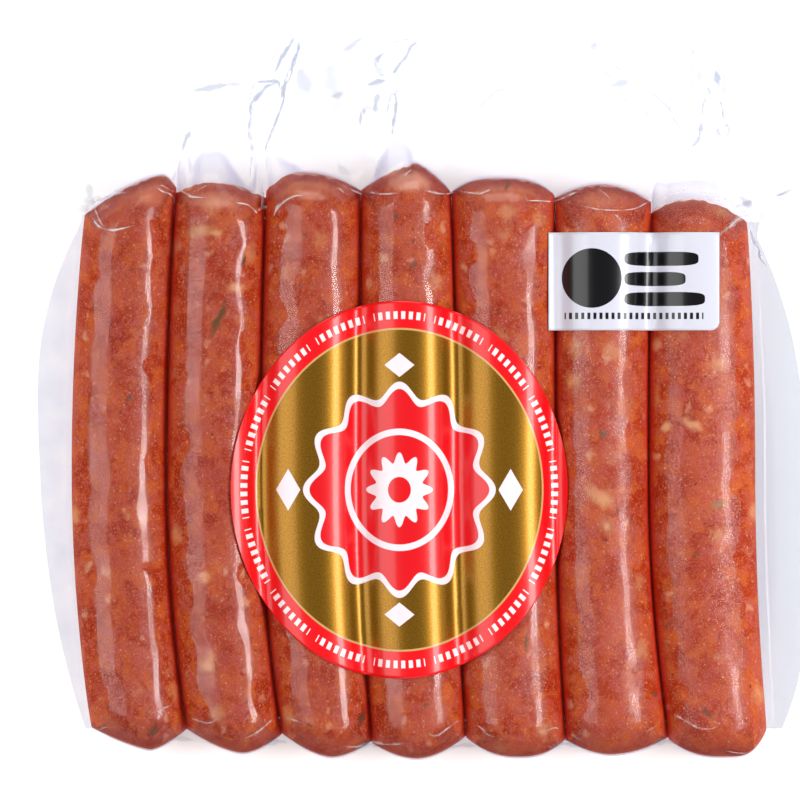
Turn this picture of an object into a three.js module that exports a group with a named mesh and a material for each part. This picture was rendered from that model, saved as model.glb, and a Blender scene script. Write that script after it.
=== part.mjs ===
// A clear vacuum bag of seven sausages lying side by side, with a round and an oblong label on its front.
// Millimetres, +Z up. The bag lies on its back on z = 0 and the sausages run along Y, their head ends at +Y.
// The origin is below the middle of the bag. The film clings to the sausages, so the bag with all that it
// holds is one solid.

import * as THREE from "three";
import { ParametricGeometry } from "three/addons/geometries/ParametricGeometry.js";
import { mergeVertices } from "three/addons/utils/BufferGeometryUtils.js";

// The row of sausages. A side line is where two neighbours touch, or the outer side of the row. It has three
// places: x near the head end, half way down, and near the foot end.
const SIDE_LINES = [
  [-85.1, -87.7, -83.8],
  [-62.4, -63.9, -60.0],
  [-39.6, -40.5, -36.5],
  [-15.5, -15.6, -13.5],
  [7.4, 8.4, 10.2],
  [33.0, 33.2, 35.0],
  [56.8, 56.2, 60.0],
  [81.2, 82.9, 85.2],
];
const SIDE_MIDDLE_Y = -19; // where a side line has its middle x
const SIDE_REACH = 57.5; // from there to where it has its head or foot x
const SIDE_OVERRUN = 1.3; // how far a line goes on curving, in reaches

// Each end: y of the tip, where the tip lies across the sausage (-1 left side, 1 right side), how far the end
// falls back from the tip at its left and at its right side, and its bluntness in plan, where 1 is a point, 2
// a parabola and 3 nearly flat.
const HEAD_ENDS = [
  [54.8, 0.68, 10.0, 3.8, 1.6],
  [53.2, -0.24, 2.8, 4.2, 1.8],
  [55.5, -0.33, 5.0, 4.8, 2.2],
  [57.8, 0.22, 6.8, 7.2, 1.4],
  [54.0, -0.02, 3.8, 4.5, 3.0],
  [52.5, -0.04, 3.5, 4.5, 1.8],
  [49.0, -0.14, 3.8, 6.0, 2.0],
];
const FOOT_ENDS = [
  [-89.0, 0.16, 5.8, 5.5, 1.4],
  [-89.8, 0.1, 6.2, 5.0, 1.6],
  [-90.8, 0.04, 6.2, 4.2, 1.7],
  [-91.2, -0.1, 4.0, 6.0, 1.8],
  [-90.8, 0.03, 5.2, 4.8, 2.4],
  [-90.2, -0.16, 3.8, 4.5, 1.8],
  [-90.8, 0.16, 4.8, 7.5, 3.0],
];
const HEAD_DOME = 9.5; // length over which a sausage thins to its head end
const FOOT_DOME = 8;
const HALF_HEIGHTS = [12.3, 12.5, 12.25, 12.4, 12.2, 12.45, 12.3];
const SECTION_POWER = 2.3; // of a superellipse: 2 is round, and more is squarer, as pressed by the neighbours
const SAUSAGES = HALF_HEIGHTS.length;

// The bag round the row.
const FILM_LEAVES = 0.955; // share of a half width at which the film leaves the sausage to span the gap
const SEAM_Z = 11.8; // half way up the bag, whose underside is pressed flat at z = 0
const WEB = 1.0; // thickness of the two films where nothing is between them
const FOOT_MARGIN = 1.2; // film beyond the foot ends
const TOP_Y = 92.4; // free edge of the flap
const NECK_LEFT = { x: -85.3, y: 43 }; // where a side seam meets the flap
const NECK_RIGHT = { x: 83.6, y: 39 };
const CORNER_LEFT = { x: -82, y: -90 }; // where a side seam meets the foot
const CORNER_RIGHT = { x: 86.5, y: -90 };

// How far a side seam bulges between corner and neck, how far along it is widest, and how squarely it ends.
const SEAM_LEFT = { width: 12.2, widest: 0.65, footPower: 2.6, neckPower: 2.2 };
const SEAM_RIGHT = { width: 11.2, widest: 0.5, footPower: 3.5, neckPower: 2.7 };

// The flap: how far it widens above each neck and over what length, the folded corner that sticks out above
// the right neck, where the flap leaves the sausages, and how far its free edge sags.
const FLARE_LEFT = 1.2;
const FLARE_RIGHT = 4.6;
const FLARE_LENGTH = 18;
const EAR = { y: 50.5, reach: 5.5, width: 4 };
const FLAP_FOOT_Y = 52;
const FLAP_SAG = 3;
const FLAP_WAVES = [
  { height: 1.7, across: 1.7, along: 0, phase: 0.8 },
  { height: 0.9, across: 3.3, along: 0.11, phase: 0 },
];

// Pleats that run from between two sausages up the flap. The side line, the lean to the right and the half
// width are in sausage widths, and the height and the y of the upper end in millimetres.
const PLEATS = [
  { line: 1, lean: 0.16, halfWidth: 0.1, height: 1.6, top: 70 },
  { line: 2, lean: 0.42, halfWidth: 0.13, height: 2.6, top: 91 },
  { line: 3, lean: 0.62, halfWidth: 0.13, height: 2.4, top: 90 },
  { line: 4, lean: -0.3, halfWidth: 0.16, height: 1.2, top: 76 },
  { line: 5, lean: 0.2, halfWidth: 0.2, height: 1.4, top: 90 },
  { line: 6.3, lean: 0.3, halfWidth: 0.13, height: 2.2, top: 88 },
];
const PLEAT_RISE = [44, 58]; // y over which a pleat rises out of the gap between the sausages
const PLEAT_FADE = 12; // length over which it fades below its upper end

// The labels, which follow the ridges more loosely than the film does.
const LABEL_LEAVES = 0.78;
const LABEL_GAP = 0.3;
const LABEL_THICKNESS = 0.4;
const ROUND_LABEL = { x: -5.9, y: -23.8, halfWidth: 41.9, halfHeight: 47 };
const OBLONG_LABEL = { x: 52.4, y: 28, halfWidth: 21.2, halfHeight: 12.2 };
const OBLONG_CORNER = 2.2;

// The mesh. The bag's rows are counted over the film at the foot, foot domes, bodies, head domes and flap.
const COLUMNS_A_SAUSAGE = 10;
const STAGE_ROWS = [1, 5, 9, 5, 7];
const ROUND_COLUMNS = 56;
const ROUND_ROWS = 10;
const OBLONG_COLUMNS = 24;
const OBLONG_ROWS = 4;
const NUDGE = 1e-6; // a step to one side of a side line, in sausage widths

const { abs, sqrt, sin, cos, exp, floor, round, min, max, PI } = Math;
const { clamp, lerp, smoothstep } = THREE.MathUtils;

// x of a side line at y: a parabola each way from its middle.
function sideLine(line, y) {
  const [head, middle, foot] = SIDE_LINES[line];
  const reach = clamp((y - SIDE_MIDDLE_Y) / SIDE_REACH, -SIDE_OVERRUN, SIDE_OVERRUN);
  return middle + ((reach > 0 ? head : foot) - middle) * reach * reach;
}

// How far an end falls back from its tip at the place across the sausage.
function endFall([, apex, fallLeft, fallRight, bluntness], across) {
  if (across > apex) return fallRight * ((across - apex) / (1 - apex)) ** bluntness;
  return fallLeft * ((apex - across) / (1 + apex)) ** bluntness;
}

function headY(sausage, across) {
  return HEAD_ENDS[sausage][0] - endFall(HEAD_ENDS[sausage], across);
}

function footY(sausage, across) {
  return FOOT_ENDS[sausage][0] + endFall(FOOT_ENDS[sausage], across);
}

// Height of the cross-section, as a share of the half height, under a cover that leaves the sausage at the
// given share of its half width and is level where it meets the neighbour's cover.
function section(across, leaves) {
  const side = min(abs(across), 1);
  if (side <= leaves) return (1 - side ** SECTION_POWER) ** (1 / SECTION_POWER);
  const rest = 1 - leaves ** SECTION_POWER;
  const slope = leaves ** (SECTION_POWER - 1) * rest ** (1 / SECTION_POWER - 1);
  const run = side - leaves;
  return rest ** (1 / SECTION_POWER) - slope * (run - (run * run) / (2 * (1 - leaves)));
}

// Share of the full height at y: 1 along the body, and a quarter ellipse down to 0 at each end.
function endShare(sausage, across, y) {
  const toHead = (headY(sausage, across) - y) / HEAD_DOME;
  const toFoot = (y - footY(sausage, across)) / FOOT_DOME;
  const inside = clamp(min(toHead, toFoot), 0, 1);
  return sqrt(1 - (1 - inside) ** 2);
}

// x of a side seam at y: a straight line from corner to neck that bulges to one side, -1 left or 1 right.
function seamEdge(y, corner, neck, seam, side) {
  const along = clamp((y - corner.y) / (neck.y - corner.y), 0, 1);
  const towardsFoot = max(0, 1 - along / seam.widest) ** seam.footPower;
  const towardsNeck = max(0, (along - seam.widest) / (1 - seam.widest)) ** seam.neckPower;
  return lerp(corner.x, neck.x, along) + side * seam.width * (1 - towardsFoot - towardsNeck);
}

function leftEdge(y) {
  const flare = FLARE_LEFT * smoothstep(y, NECK_LEFT.y, NECK_LEFT.y + FLARE_LENGTH);
  return seamEdge(y, CORNER_LEFT, NECK_LEFT, SEAM_LEFT, -1) - flare;
}

function rightEdge(y) {
  const ear = EAR.reach * exp(-(((y - EAR.y) / EAR.width) ** 2));
  const flare = FLARE_RIGHT * smoothstep(y, NECK_RIGHT.y, NECK_RIGHT.y + FLARE_LENGTH);
  return seamEdge(y, CORNER_RIGHT, NECK_RIGHT, SEAM_RIGHT, 1) + ear + flare;
}

// x at the place q across the bag: the side lines are at 0 to 7, the left edge at -1 and the right edge at 8.
function bagX(q, y) {
  if (q < 0) return lerp(sideLine(0, y), leftEdge(y), -q);
  if (q > SAUSAGES) return lerp(sideLine(SAUSAGES, y), rightEdge(y), q - SAUSAGES);
  const sausage = min(floor(q), SAUSAGES - 1);
  return lerp(sideLine(sausage, y), sideLine(sausage + 1, y), q - sausage);
}

// How far up the flap y is, from 0 to 1.
function upFlap(y) {
  return clamp((y - FLAP_FOOT_Y) / (TOP_Y - FLAP_FOOT_Y), 0, 1);
}

// How far the pleats part the two films.
function pleatHeight(q, y) {
  return PLEATS.reduce((sum, { line, lean, halfWidth, height, top }) => {
    const off = (q - line - lean * upFlap(y)) / halfWidth;
    const along = smoothstep(y, ...PLEAT_RISE) * (1 - smoothstep(y, top - PLEAT_FADE, top));
    return sum + height * exp(-off * off) * along;
  }, 0);
}

// How far the seam is off its plane: it is flat round the sausages, and waves and sags in the flap.
function flapLift(q, y) {
  const wave = FLAP_WAVES.reduce((sum, w) => sum + w.height * sin(w.across * q + w.along * y + w.phase), 0);
  return upFlap(y) * wave - FLAP_SAG * upFlap(y) ** 2;
}

// The value at place k of a list, between two entries where k is not whole.
function entryAt(list, k) {
  const low = min(floor(k), list.length - 2);
  return lerp(list[low], list[low + 1], k - low);
}

// Steps from 0 to 1.
function steps(count) {
  return Array.from({ length: count + 1 }, (_, k) => k / count);
}

// The same faces on shared corners, without those that a closed rim has squeezed to a line.
function welded(skin) {
  skin.deleteAttribute("normal");
  skin.deleteAttribute("uv");
  const body = mergeVertices(skin, 1e-4);
  const corners = body.index.array;
  const kept = [];
  for (let k = 0; k < corners.length; k += 3) {
    const [a, b, c] = corners.slice(k, k + 3);
    if (a !== b && b !== c && c !== a) kept.push(a, b, c);
  }
  body.setIndex(kept);
  body.computeVertexNormals();
  return body;
}

// A closed thin body, from columns across it and rows along it, both in places of the caller's choice. u goes
// over the front and back under the back. surface(column, row, side, target) sets the point on the front
// (side 1), on the back (side -1) or at the rim (side 0).
function closedSheet(columns, rows, surface) {
  const [first, last] = [columns[0], columns.at(-1)];
  const places = [first, ...columns, last, ...columns.toReversed(), first];
  const sides = [0, ...columns.map(() => 1), 0, ...columns.map(() => -1), 0];
  const levels = [rows[0], ...rows, rows.at(-1)];
  const opened = [0, ...rows.map(() => 1), 0];
  const slices = places.length - 1;
  const stacks = levels.length - 1;
  const point = (u, v, target) => {
    const side = entryAt(sides, u * slices) * entryAt(opened, v * stacks);
    surface(entryAt(places, u * slices), entryAt(levels, v * stacks), side, target);
  };
  return welded(new ParametricGeometry(point, slices, stacks));
}

// Places across the bag: closer together at the sides of each sausage, where the film turns down.
function bagColumns() {
  const places = [-1, -0.5];
  for (let sausage = 0; sausage < SAUSAGES; sausage += 1) {
    for (let k = 0; k < COLUMNS_A_SAUSAGE; k += 1) {
      places.push(sausage + (1 - cos((k / COLUMNS_A_SAUSAGE) * PI)) / 2);
    }
  }
  return [...places, SAUSAGES, SAUSAGES + 0.5, SAUSAGES + 1];
}

// Places along the bag: each stage runs over one whole number.
function bagRows() {
  const places = [0];
  STAGE_ROWS.forEach((count, stage) => {
    for (let k = 1; k <= count; k += 1) places.push(stage + k / count);
  });
  return places;
}

// y and share of the full height at the place across a sausage and the place along the stages.
function bagRow(sausage, across, along) {
  const foot = footY(sausage, across);
  const head = headY(sausage, across);
  if (along <= 1) return { y: foot - FOOT_MARGIN * (1 - along), share: 0 };
  if (along <= 2) {
    const turn = ((along - 1) * PI) / 2;
    return { y: foot + FOOT_DOME * (1 - cos(turn)), share: sin(turn) };
  }
  if (along <= 3) return { y: lerp(foot + FOOT_DOME, head - HEAD_DOME, along - 2), share: 1 };
  if (along <= 4) {
    const turn = ((along - 3) * PI) / 2;
    return { y: head - HEAD_DOME * (1 - sin(turn)), share: cos(turn) };
  }
  return { y: lerp(head, TOP_Y, along - 4), share: 0 };
}

// A point of the bag. Where two sausages meet, the film is at the mean of their two rows.
function bagPoint(q, along, side, target) {
  const line = round(q);
  const shared = abs(q - line) < NUDGE && line > 0 && line < SAUSAGES;
  const sausage = clamp(floor(q), 0, SAUSAGES - 1);
  const across = clamp((q - sausage) * 2 - 1, -1, 1);
  const row = bagRow(sausage, across, along);
  const y = shared ? (bagRow(line - 1, 1, along).y + bagRow(line, -1, along).y) / 2 : row.y;
  const covers = q > 0 && q < SAUSAGES ? 1 : 0;
  const cover = covers * HALF_HEIGHTS[sausage] * section(across, FILM_LEAVES) * row.share;
  const half = WEB / 2 + cover + pleatHeight(q, y);
  target.set(bagX(q, y), y, max(0, SEAM_Z + flapLift(q, y) + half * side));
}

// Height of the film's ridges at x, y under a cover as loose as a label.
function labelBed(x, y) {
  let sausage = 0;
  while (sausage < SAUSAGES - 1 && x > sideLine(sausage + 1, y)) sausage += 1;
  const left = sideLine(sausage, y);
  const right = sideLine(sausage + 1, y);
  const across = clamp(((x - left) / (right - left)) * 2 - 1, -1, 1);
  const cover = HALF_HEIGHTS[sausage] * section(across, LABEL_LEAVES) * endShare(sausage, across, y);
  return SEAM_Z + WEB / 2 + cover;
}

// A label, from places across it from -1 to 1. outline(place) gives its lowest and highest y there.
function labelSheet(label, places, rowCount, outline) {
  return closedSheet(places, steps(rowCount), (place, up, side, target) => {
    const [low, high] = outline(place);
    const x = label.x + label.halfWidth * place;
    const y = label.y + label.halfHeight * lerp(low, high, up);
    target.set(x, y, labelBed(x, y) + LABEL_GAP + (LABEL_THICKNESS * (1 + side)) / 2);
  });
}

// A disc, with its columns evenly spread round the rim.
function roundLabel() {
  const places = steps(ROUND_COLUMNS).map((step) => -cos(step * PI));
  return labelSheet(ROUND_LABEL, places, ROUND_ROWS, (place) => {
    const rise = sqrt(max(0, 1 - place * place));
    return [-rise, rise];
  });
}

// An oblong whose lower right corner alone is rounded.
function oblongLabel() {
  const places = steps(OBLONG_COLUMNS).map((step) => step * 2 - 1);
  return labelSheet(OBLONG_LABEL, places, OBLONG_ROWS, (place) => {
    const intoCorner = max(0, (place - 1) * OBLONG_LABEL.halfWidth + OBLONG_CORNER);
    const cut = OBLONG_CORNER - sqrt(OBLONG_CORNER ** 2 - intoCorner ** 2);
    return [-1 + cut / OBLONG_LABEL.halfHeight, 1];
  });
}

// Materials: meat seen through glossy film, the round label's gold ink and the oblong label's white.
const packedMeat = new THREE.MeshStandardMaterial({ color: 0xb4604a, roughness: 0.3, metalness: 0 });
const goldLabel = new THREE.MeshStandardMaterial({ color: 0x8f6510, roughness: 0.35, metalness: 0 });
const whiteLabel = new THREE.MeshStandardMaterial({ color: 0xe2e2ea, roughness: 0.4, metalness: 0 });

function piece(name, geometry, material) {
  const mesh = new THREE.Mesh(geometry, material);
  mesh.name = name;
  return mesh;
}

const pack = new THREE.Group();
pack.add(piece("vacuum_bag", closedSheet(bagColumns(), bagRows(), bagPoint), packedMeat));
pack.add(piece("round_label", roundLabel(), goldLabel));
pack.add(piece("oblong_label", oblongLabel(), whiteLabel));

export default pack;
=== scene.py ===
"""A clear vacuum bag of seven sausages lying side by side, with a round and an oblong label on its front.

The bag lies on its back on z = 0. The sausages run along Y with their head ends at +Y, and the bag's free
flap is beyond them. Shapes are worked out in millimetres in the shared frame, and meshes are written in
metres.
"""

import bpy
import numpy as np
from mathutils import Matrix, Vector


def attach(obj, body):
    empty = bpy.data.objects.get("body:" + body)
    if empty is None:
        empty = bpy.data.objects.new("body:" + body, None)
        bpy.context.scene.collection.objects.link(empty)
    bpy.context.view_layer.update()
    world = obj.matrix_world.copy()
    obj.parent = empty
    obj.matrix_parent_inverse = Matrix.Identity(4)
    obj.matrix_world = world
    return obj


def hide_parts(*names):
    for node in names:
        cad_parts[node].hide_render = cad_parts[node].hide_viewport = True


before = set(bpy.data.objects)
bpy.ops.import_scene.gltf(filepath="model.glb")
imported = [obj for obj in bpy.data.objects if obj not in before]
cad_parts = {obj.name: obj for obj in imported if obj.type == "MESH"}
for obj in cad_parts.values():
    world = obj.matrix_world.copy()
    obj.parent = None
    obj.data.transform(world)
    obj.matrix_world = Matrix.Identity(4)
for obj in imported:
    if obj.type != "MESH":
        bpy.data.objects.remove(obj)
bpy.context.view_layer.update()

MM = 0.001

# The row of sausages. A side line is where two neighbours touch, or the outer side of the row: x near the
# head end, half way down, and near the foot end.
SIDE_LINES = np.array([
    (-85.1, -87.7, -83.8),
    (-62.4, -63.9, -60.0),
    (-39.6, -40.5, -36.5),
    (-15.5, -15.6, -13.5),
    (7.4, 8.4, 10.2),
    (33.0, 33.2, 35.0),
    (56.8, 56.2, 60.0),
    (81.2, 82.9, 85.2),
])
SIDE_MIDDLE_Y = -19.0
SIDE_REACH = 57.5
SIDE_OVERRUN = 1.3

# Each end: y of the tip, where the tip lies across the sausage from -1 to 1, the falls to its left and right
# side, and the bluntness.
HEAD_ENDS = np.array([
    (54.8, 0.68, 10.0, 3.8, 1.6),
    (53.2, -0.24, 2.8, 4.2, 1.8),
    (55.5, -0.33, 5.0, 4.8, 2.2),
    (57.8, 0.22, 6.8, 7.2, 1.4),
    (54.0, -0.02, 3.8, 4.5, 3.0),
    (52.5, -0.04, 3.5, 4.5, 1.8),
    (49.0, -0.14, 3.8, 6.0, 2.0),
])
FOOT_ENDS = np.array([
    (-89.0, 0.16, 5.8, 5.5, 1.4),
    (-89.8, 0.1, 6.2, 5.0, 1.6),
    (-90.8, 0.04, 6.2, 4.2, 1.7),
    (-91.2, -0.1, 4.0, 6.0, 1.8),
    (-90.8, 0.03, 5.2, 4.8, 2.4),
    (-90.2, -0.16, 3.8, 4.5, 1.8),
    (-90.8, 0.16, 4.8, 7.5, 3.0),
])
HEAD_DOME = 9.5
FOOT_DOME = 8.0
HALF_HEIGHTS = np.array([12.3, 12.5, 12.25, 12.4, 12.2, 12.45, 12.3])
SECTION_POWER = 2.3
SAUSAGES = len(HALF_HEIGHTS)

# The bag round the row.
SEAM_Z = 11.8
FILM_GAP = 0.5  # the film's height over the row's own surface
FILM_LEAVES = 0.93
OUTER_LEAVES = 0.9  # where the film leaves the outer side of the row for the side seam
FOOT_MARGIN = 0.4
WEB_REACH, WEB_WIDTH = 2.4, 0.13  # of the film that spans the notches between the feet
TOP_Y = 92.4
NECK_LEFT = (-85.3, 43.0)
NECK_RIGHT = (83.6, 39.0)
CORNER_LEFT = (-82.0, -90.0)
CORNER_RIGHT = (86.5, -90.0)
# Each side seam: how far it bulges, where it is widest on its way up, and the powers below and above that.
SEAM_LEFT = (12.2, 0.65, 2.6, 2.2)
SEAM_RIGHT = (11.2, 0.5, 3.5, 2.7)
FLARE_LEFT = 1.2
FLARE_RIGHT = 4.6
FLARE_LENGTH = 18.0
EAR_Y, EAR_REACH, EAR_WIDTH = 50.5, 5.5, 4.0
FLAP_FOOT_Y = 52.0
FLAP_SAG = 3.0
FLAP_WAVES = ((1.7, 1.7, 0.0, 0.8), (0.9, 3.3, 0.11, 0.0))  # height, turn for each step of q and of y, phase
WELD = 0.3  # thickness of the two films where they lie on each other
RIM_TAPER = 4.0  # over which they thin out to the bag's rim

# How far beyond a head end the film comes down on the flap, at places across in side line numbers.
TENTS = np.array([
    (0.0, 0.3), (0.85, 0.15), (0.94, 0.2), (0.98, 5.0), (1.02, 9.8), (1.11, 9.2), (1.17, 5.2), (1.21, 6.9),
    (1.52, 6.6), (1.65, 3.4), (1.77, 0.8), (1.84, 1.2), (1.9, 9.5), (2.0, 11.0), (2.1, 6.5), (2.2, 3.4),
    (2.3, 1.8), (2.36, 0.2), (3.0, 0.2), (3.12, 0.3), (3.2, 4.6), (3.32, 7.6), (3.43, 7.4), (3.55, 5.3),
    (3.6, 0.15), (4.0, 0.2), (4.5, 0.15), (5.0, 0.2), (5.5, 0.15), (5.98, 0.8), (6.03, 8.0), (6.1, 7.2),
    (6.3, 4.8), (6.43, 4.4), (6.6, 5.0), (6.8, 6.8), (6.92, 8.8), (7.0, 8.5),
])
FOOT_REACH = 0.3

# The meat's surface lies this far inside the film.
MEAT_UNDER_FILM = 0.16
MEAT_PRESSED = 0.5  # how far each is pressed in where it touches its neighbour
MEAT_TO_MEAT = 0.01
MEAT_END_INSET = 0.2


def side_line(line, y):
    """x of side line number line at y: a parabola each way from the line's middle."""
    head, middle, foot = np.moveaxis(SIDE_LINES[line], -1, 0)
    reach = np.clip((y - SIDE_MIDDLE_Y) / SIDE_REACH, -SIDE_OVERRUN, SIDE_OVERRUN)
    return middle + (np.where(reach > 0, head, foot) - middle) * reach * reach


def end_fall(ends, sausage, across):
    """How far an end falls back at a place across: a power of the distance from its tip, for each side."""
    _, apex, left, right, bluntness = np.moveaxis(ends[sausage], -1, 0)
    to_right = np.maximum(0, (across - apex) / (1 - apex)) ** bluntness
    to_left = np.maximum(0, (apex - across) / (1 + apex)) ** bluntness
    return left * to_left + right * to_right


def head_y(sausage, across):
    """y of a head end at a place across the sausage, from -1 to 1."""
    return HEAD_ENDS[sausage, 0] - end_fall(HEAD_ENDS, sausage, across)


def foot_y(sausage, across):
    """y of a foot end at a place across the sausage, from -1 to 1."""
    return FOOT_ENDS[sausage, 0] + end_fall(FOOT_ENDS, sausage, across)


def smoothstep(low, high, value):
    """0 below low, 1 above high, and 3t^2 - 2t^3 between."""
    t = np.clip((value - low) / (high - low), 0, 1)
    return t * t * (3 - 2 * t)


def superellipse(across):
    """Height of the section at a place across, as a share of its half height: (1 - |t|^n)^(1/n)."""
    return (1 - np.minimum(np.abs(across), 1) ** SECTION_POWER) ** (1 / SECTION_POWER)


def covered_section(across, leaves):
    """The section under a cover that leaves it at |t| = leaves and lies level where it meets the next one."""
    side = np.minimum(np.abs(across), 1)
    edge = superellipse(leaves)
    slope = leaves ** (SECTION_POWER - 1) * edge ** (1 - SECTION_POWER)
    run = side - leaves
    return np.where(side <= leaves, superellipse(side), edge - slope * (run - run**2 / (2 * (1 - leaves))))


def outer_section(across, leaves):
    """The section under film that leaves it at |t| = leaves and runs straight down, also beyond |t| = 1."""
    side = np.abs(across)
    edge = superellipse(leaves)
    slope = leaves ** (SECTION_POWER - 1) * edge ** (1 - SECTION_POWER)
    return np.where(side <= leaves, superellipse(side), np.maximum(0, edge - slope * (side - leaves)))


def dome_share(inside):
    """Share of the full height at a distance inside an end, in dome lengths: a quarter circle."""
    return np.sqrt(1 - (1 - np.clip(inside, 0, 1)) ** 2)


def tented_share(inside, reach):
    """The same under film whose last part is cut off by the tangent from a point the given reach outside the
    end."""
    touch = 1 / (1 + reach)
    height = np.sqrt(1 - touch**2)
    tangent = np.maximum(0, height - (1 - touch - inside) * touch / height)
    return np.where(inside > 1 - touch, dome_share(inside), tangent)


def seam_edge(y, corner, neck, seam, side):
    """x of a side seam: a straight line from corner to neck that bulges by a power law below and above its
    widest place."""
    width, widest, foot_power, neck_power = seam
    along = np.clip((y - corner[1]) / (neck[1] - corner[1]), 0, 1)
    to_foot = np.maximum(0, 1 - along / widest) ** foot_power
    to_neck = np.maximum(0, (along - widest) / (1 - widest)) ** neck_power
    return corner[0] + (neck[0] - corner[0]) * along + side * width * (1 - to_foot - to_neck)


def left_edge(y):
    """x of the bag's left edge."""
    flare = FLARE_LEFT * smoothstep(NECK_LEFT[1], NECK_LEFT[1] + FLARE_LENGTH, y)
    return seam_edge(y, CORNER_LEFT, NECK_LEFT, SEAM_LEFT, -1) - flare


def right_edge(y):
    """x of the bag's right edge, with the folded corner that sticks out above the neck."""
    ear = EAR_REACH * np.exp(-(((y - EAR_Y) / EAR_WIDTH) ** 2))
    flare = FLARE_RIGHT * smoothstep(NECK_RIGHT[1], NECK_RIGHT[1] + FLARE_LENGTH, y)
    return seam_edge(y, CORNER_RIGHT, NECK_RIGHT, SEAM_RIGHT, 1) + ear + flare


def bag_x(q, y):
    """x at the place q across the bag: side lines at 0 to 7, the left edge at -1 and the right edge at 8."""
    sausage = np.clip(np.floor(q), 0, SAUSAGES - 1).astype(int)
    left, right = side_line(sausage, y), side_line(sausage + 1, y)
    inner = left + (right - left) * (q - sausage)
    outer_left = side_line(0, y) + (left_edge(y) - side_line(0, y)) * -q
    outer_right = side_line(SAUSAGES, y) + (right_edge(y) - side_line(SAUSAGES, y)) * (q - SAUSAGES)
    return np.where(q < 0, outer_left, np.where(q > SAUSAGES, outer_right, inner))


def place_across(x, y):
    """The place q across the row at x, y: the side lines at y, joined by straight steps."""
    lines = np.stack([side_line(line, y) for line in range(SAUSAGES + 1)])
    sausage = np.clip((x[None] >= lines).sum(axis=0) - 1, 0, SAUSAGES - 1)
    left = np.take_along_axis(lines, sausage[None], axis=0)[0]
    right = np.take_along_axis(lines, sausage[None] + 1, axis=0)[0]
    return sausage + (x - left) / (right - left)


def waves(x, y, length, count, seed, stretch=1.0):
    """Random waves, mostly within -1 to 1: sine waves of about the given length in random directions and
    stretched along Y, added up and divided by the root of their count."""
    draw = np.random.default_rng(seed)
    total = np.zeros(np.broadcast(x, y).shape)
    for _ in range(count):
        angle, phase = draw.uniform(0, 2 * np.pi, 2)
        pitch = 2 * np.pi / (length * draw.uniform(0.7, 1.5))
        total += np.sin(pitch * (x * np.cos(angle) + y * np.sin(angle) / stretch) + phase)
    return total / np.sqrt(count)


def ripples(x, y, kinds):
    """The sum of a few kinds of random waves, each with its height and what waves() takes."""
    return sum(height * waves(x, y, *form) for height, *form in kinds)


# Broad lumps of the meat: height, length, count, seed and stretch of the waves.
LUMPS = ((0.17, 20, 14, 5, 1.5), (0.07, 10, 16, 6, 1.2))

# Dents and bumps of the meat that the film follows: place, radius, height.
DENTS = (
    (-71.0, 21.0, 2.4, -0.5),
    (-73.4, 17.0, 2.0, 0.3),
    (-49.0, 17.2, 3.2, -0.5),
    (-46.4, 37.6, 2.0, -0.45),
    (-44.6, 27.0, 3.0, 0.3),
    (-46.0, 6.0, 4.0, 0.3),
    (3.0, 29.0, 2.2, -0.5),
    (52.0, 4.0, 2.4, -0.4),
    (49.5, -9.0, 2.6, -0.4),
    (53.0, -20.0, 3.2, 0.3),
    (-69.5, -28.0, 3.0, -0.4),
    (-66.0, -47.0, 3.2, 0.35),
    (-67.0, -66.0, 3.0, -0.35),
    (-44.0, -58.0, 3.2, -0.4),
    (-41.5, -72.0, 2.8, 0.3),
    (76.0, -38.0, 3.4, -0.4),
    (74.0, -62.0, 3.6, 0.35),
    (25.5, 22.0, 3.0, 0.3),
    (26.0, 34.0, 2.6, -0.35),
    (-22.0, 40.0, 3.0, 0.35),
)


def dent_relief(x, y, dent_x, dent_y, radius, height):
    """A bell of the given height round one place."""
    return height * np.exp(-((x - dent_x) ** 2 + (y - dent_y) ** 2) / radius**2)


def lumps(x, y):
    """How far the row's surface is off its smooth form, in millimetres."""
    return ripples(x, y, LUMPS) + sum(dent_relief(x, y, *dent) for dent in DENTS)


def through(points, count, closed=False):
    """A smooth path of count steps through a few points: Catmull-Rom pieces, all of one length in steps."""
    knots = np.array(points, float)
    if closed:
        before, after = knots[-1:], knots[:2]
    else:
        before, after = 2 * knots[:1] - knots[1:2], 2 * knots[-1:] - knots[-2:-1]
    padded = np.concatenate([before, knots, after])
    pieces = len(padded) - 3
    place = np.linspace(0, pieces, count + 1)
    k = np.minimum(place.astype(int), pieces - 1)
    t = (place - k)[:, None]
    a, b, c, d = (padded[k + shift] for shift in range(4))
    return 0.5 * (2 * b + (c - a) * t + (2 * a - 5 * b + 4 * c - d) * t**2 + (3 * b - a - 3 * c + d) * t**3)


def to_path(x, y, path):
    """Distance from each place to a path: the least of the distances to its straight steps."""
    nearest = np.full(x.shape, np.inf)
    for start, end in zip(path[:-1], path[1:]):
        step = end - start
        along = ((x - start[0]) * step[0] + (y - start[1]) * step[1]) / max(step @ step, 1e-12)
        along = np.clip(along, 0, 1)
        distance = np.hypot(x - start[0] - along * step[0], y - start[1] - along * step[1])
        nearest = np.minimum(nearest, distance)
    return nearest


def inside_path(x, y, path):
    """True inside a closed path: an upright line from the place crosses it an odd number of times."""
    crossings = np.zeros(x.shape, int)
    for (x0, y0), (x1, y1) in zip(path[:-1], path[1:]):
        spans = (x0 > x) != (x1 > x)
        rise = (y1 - y0) / (x1 - x0) if x1 != x0 else 0.0
        crossings += spans & (y < y0 + rise * (x - x0))
    return crossings % 2 == 1


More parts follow.
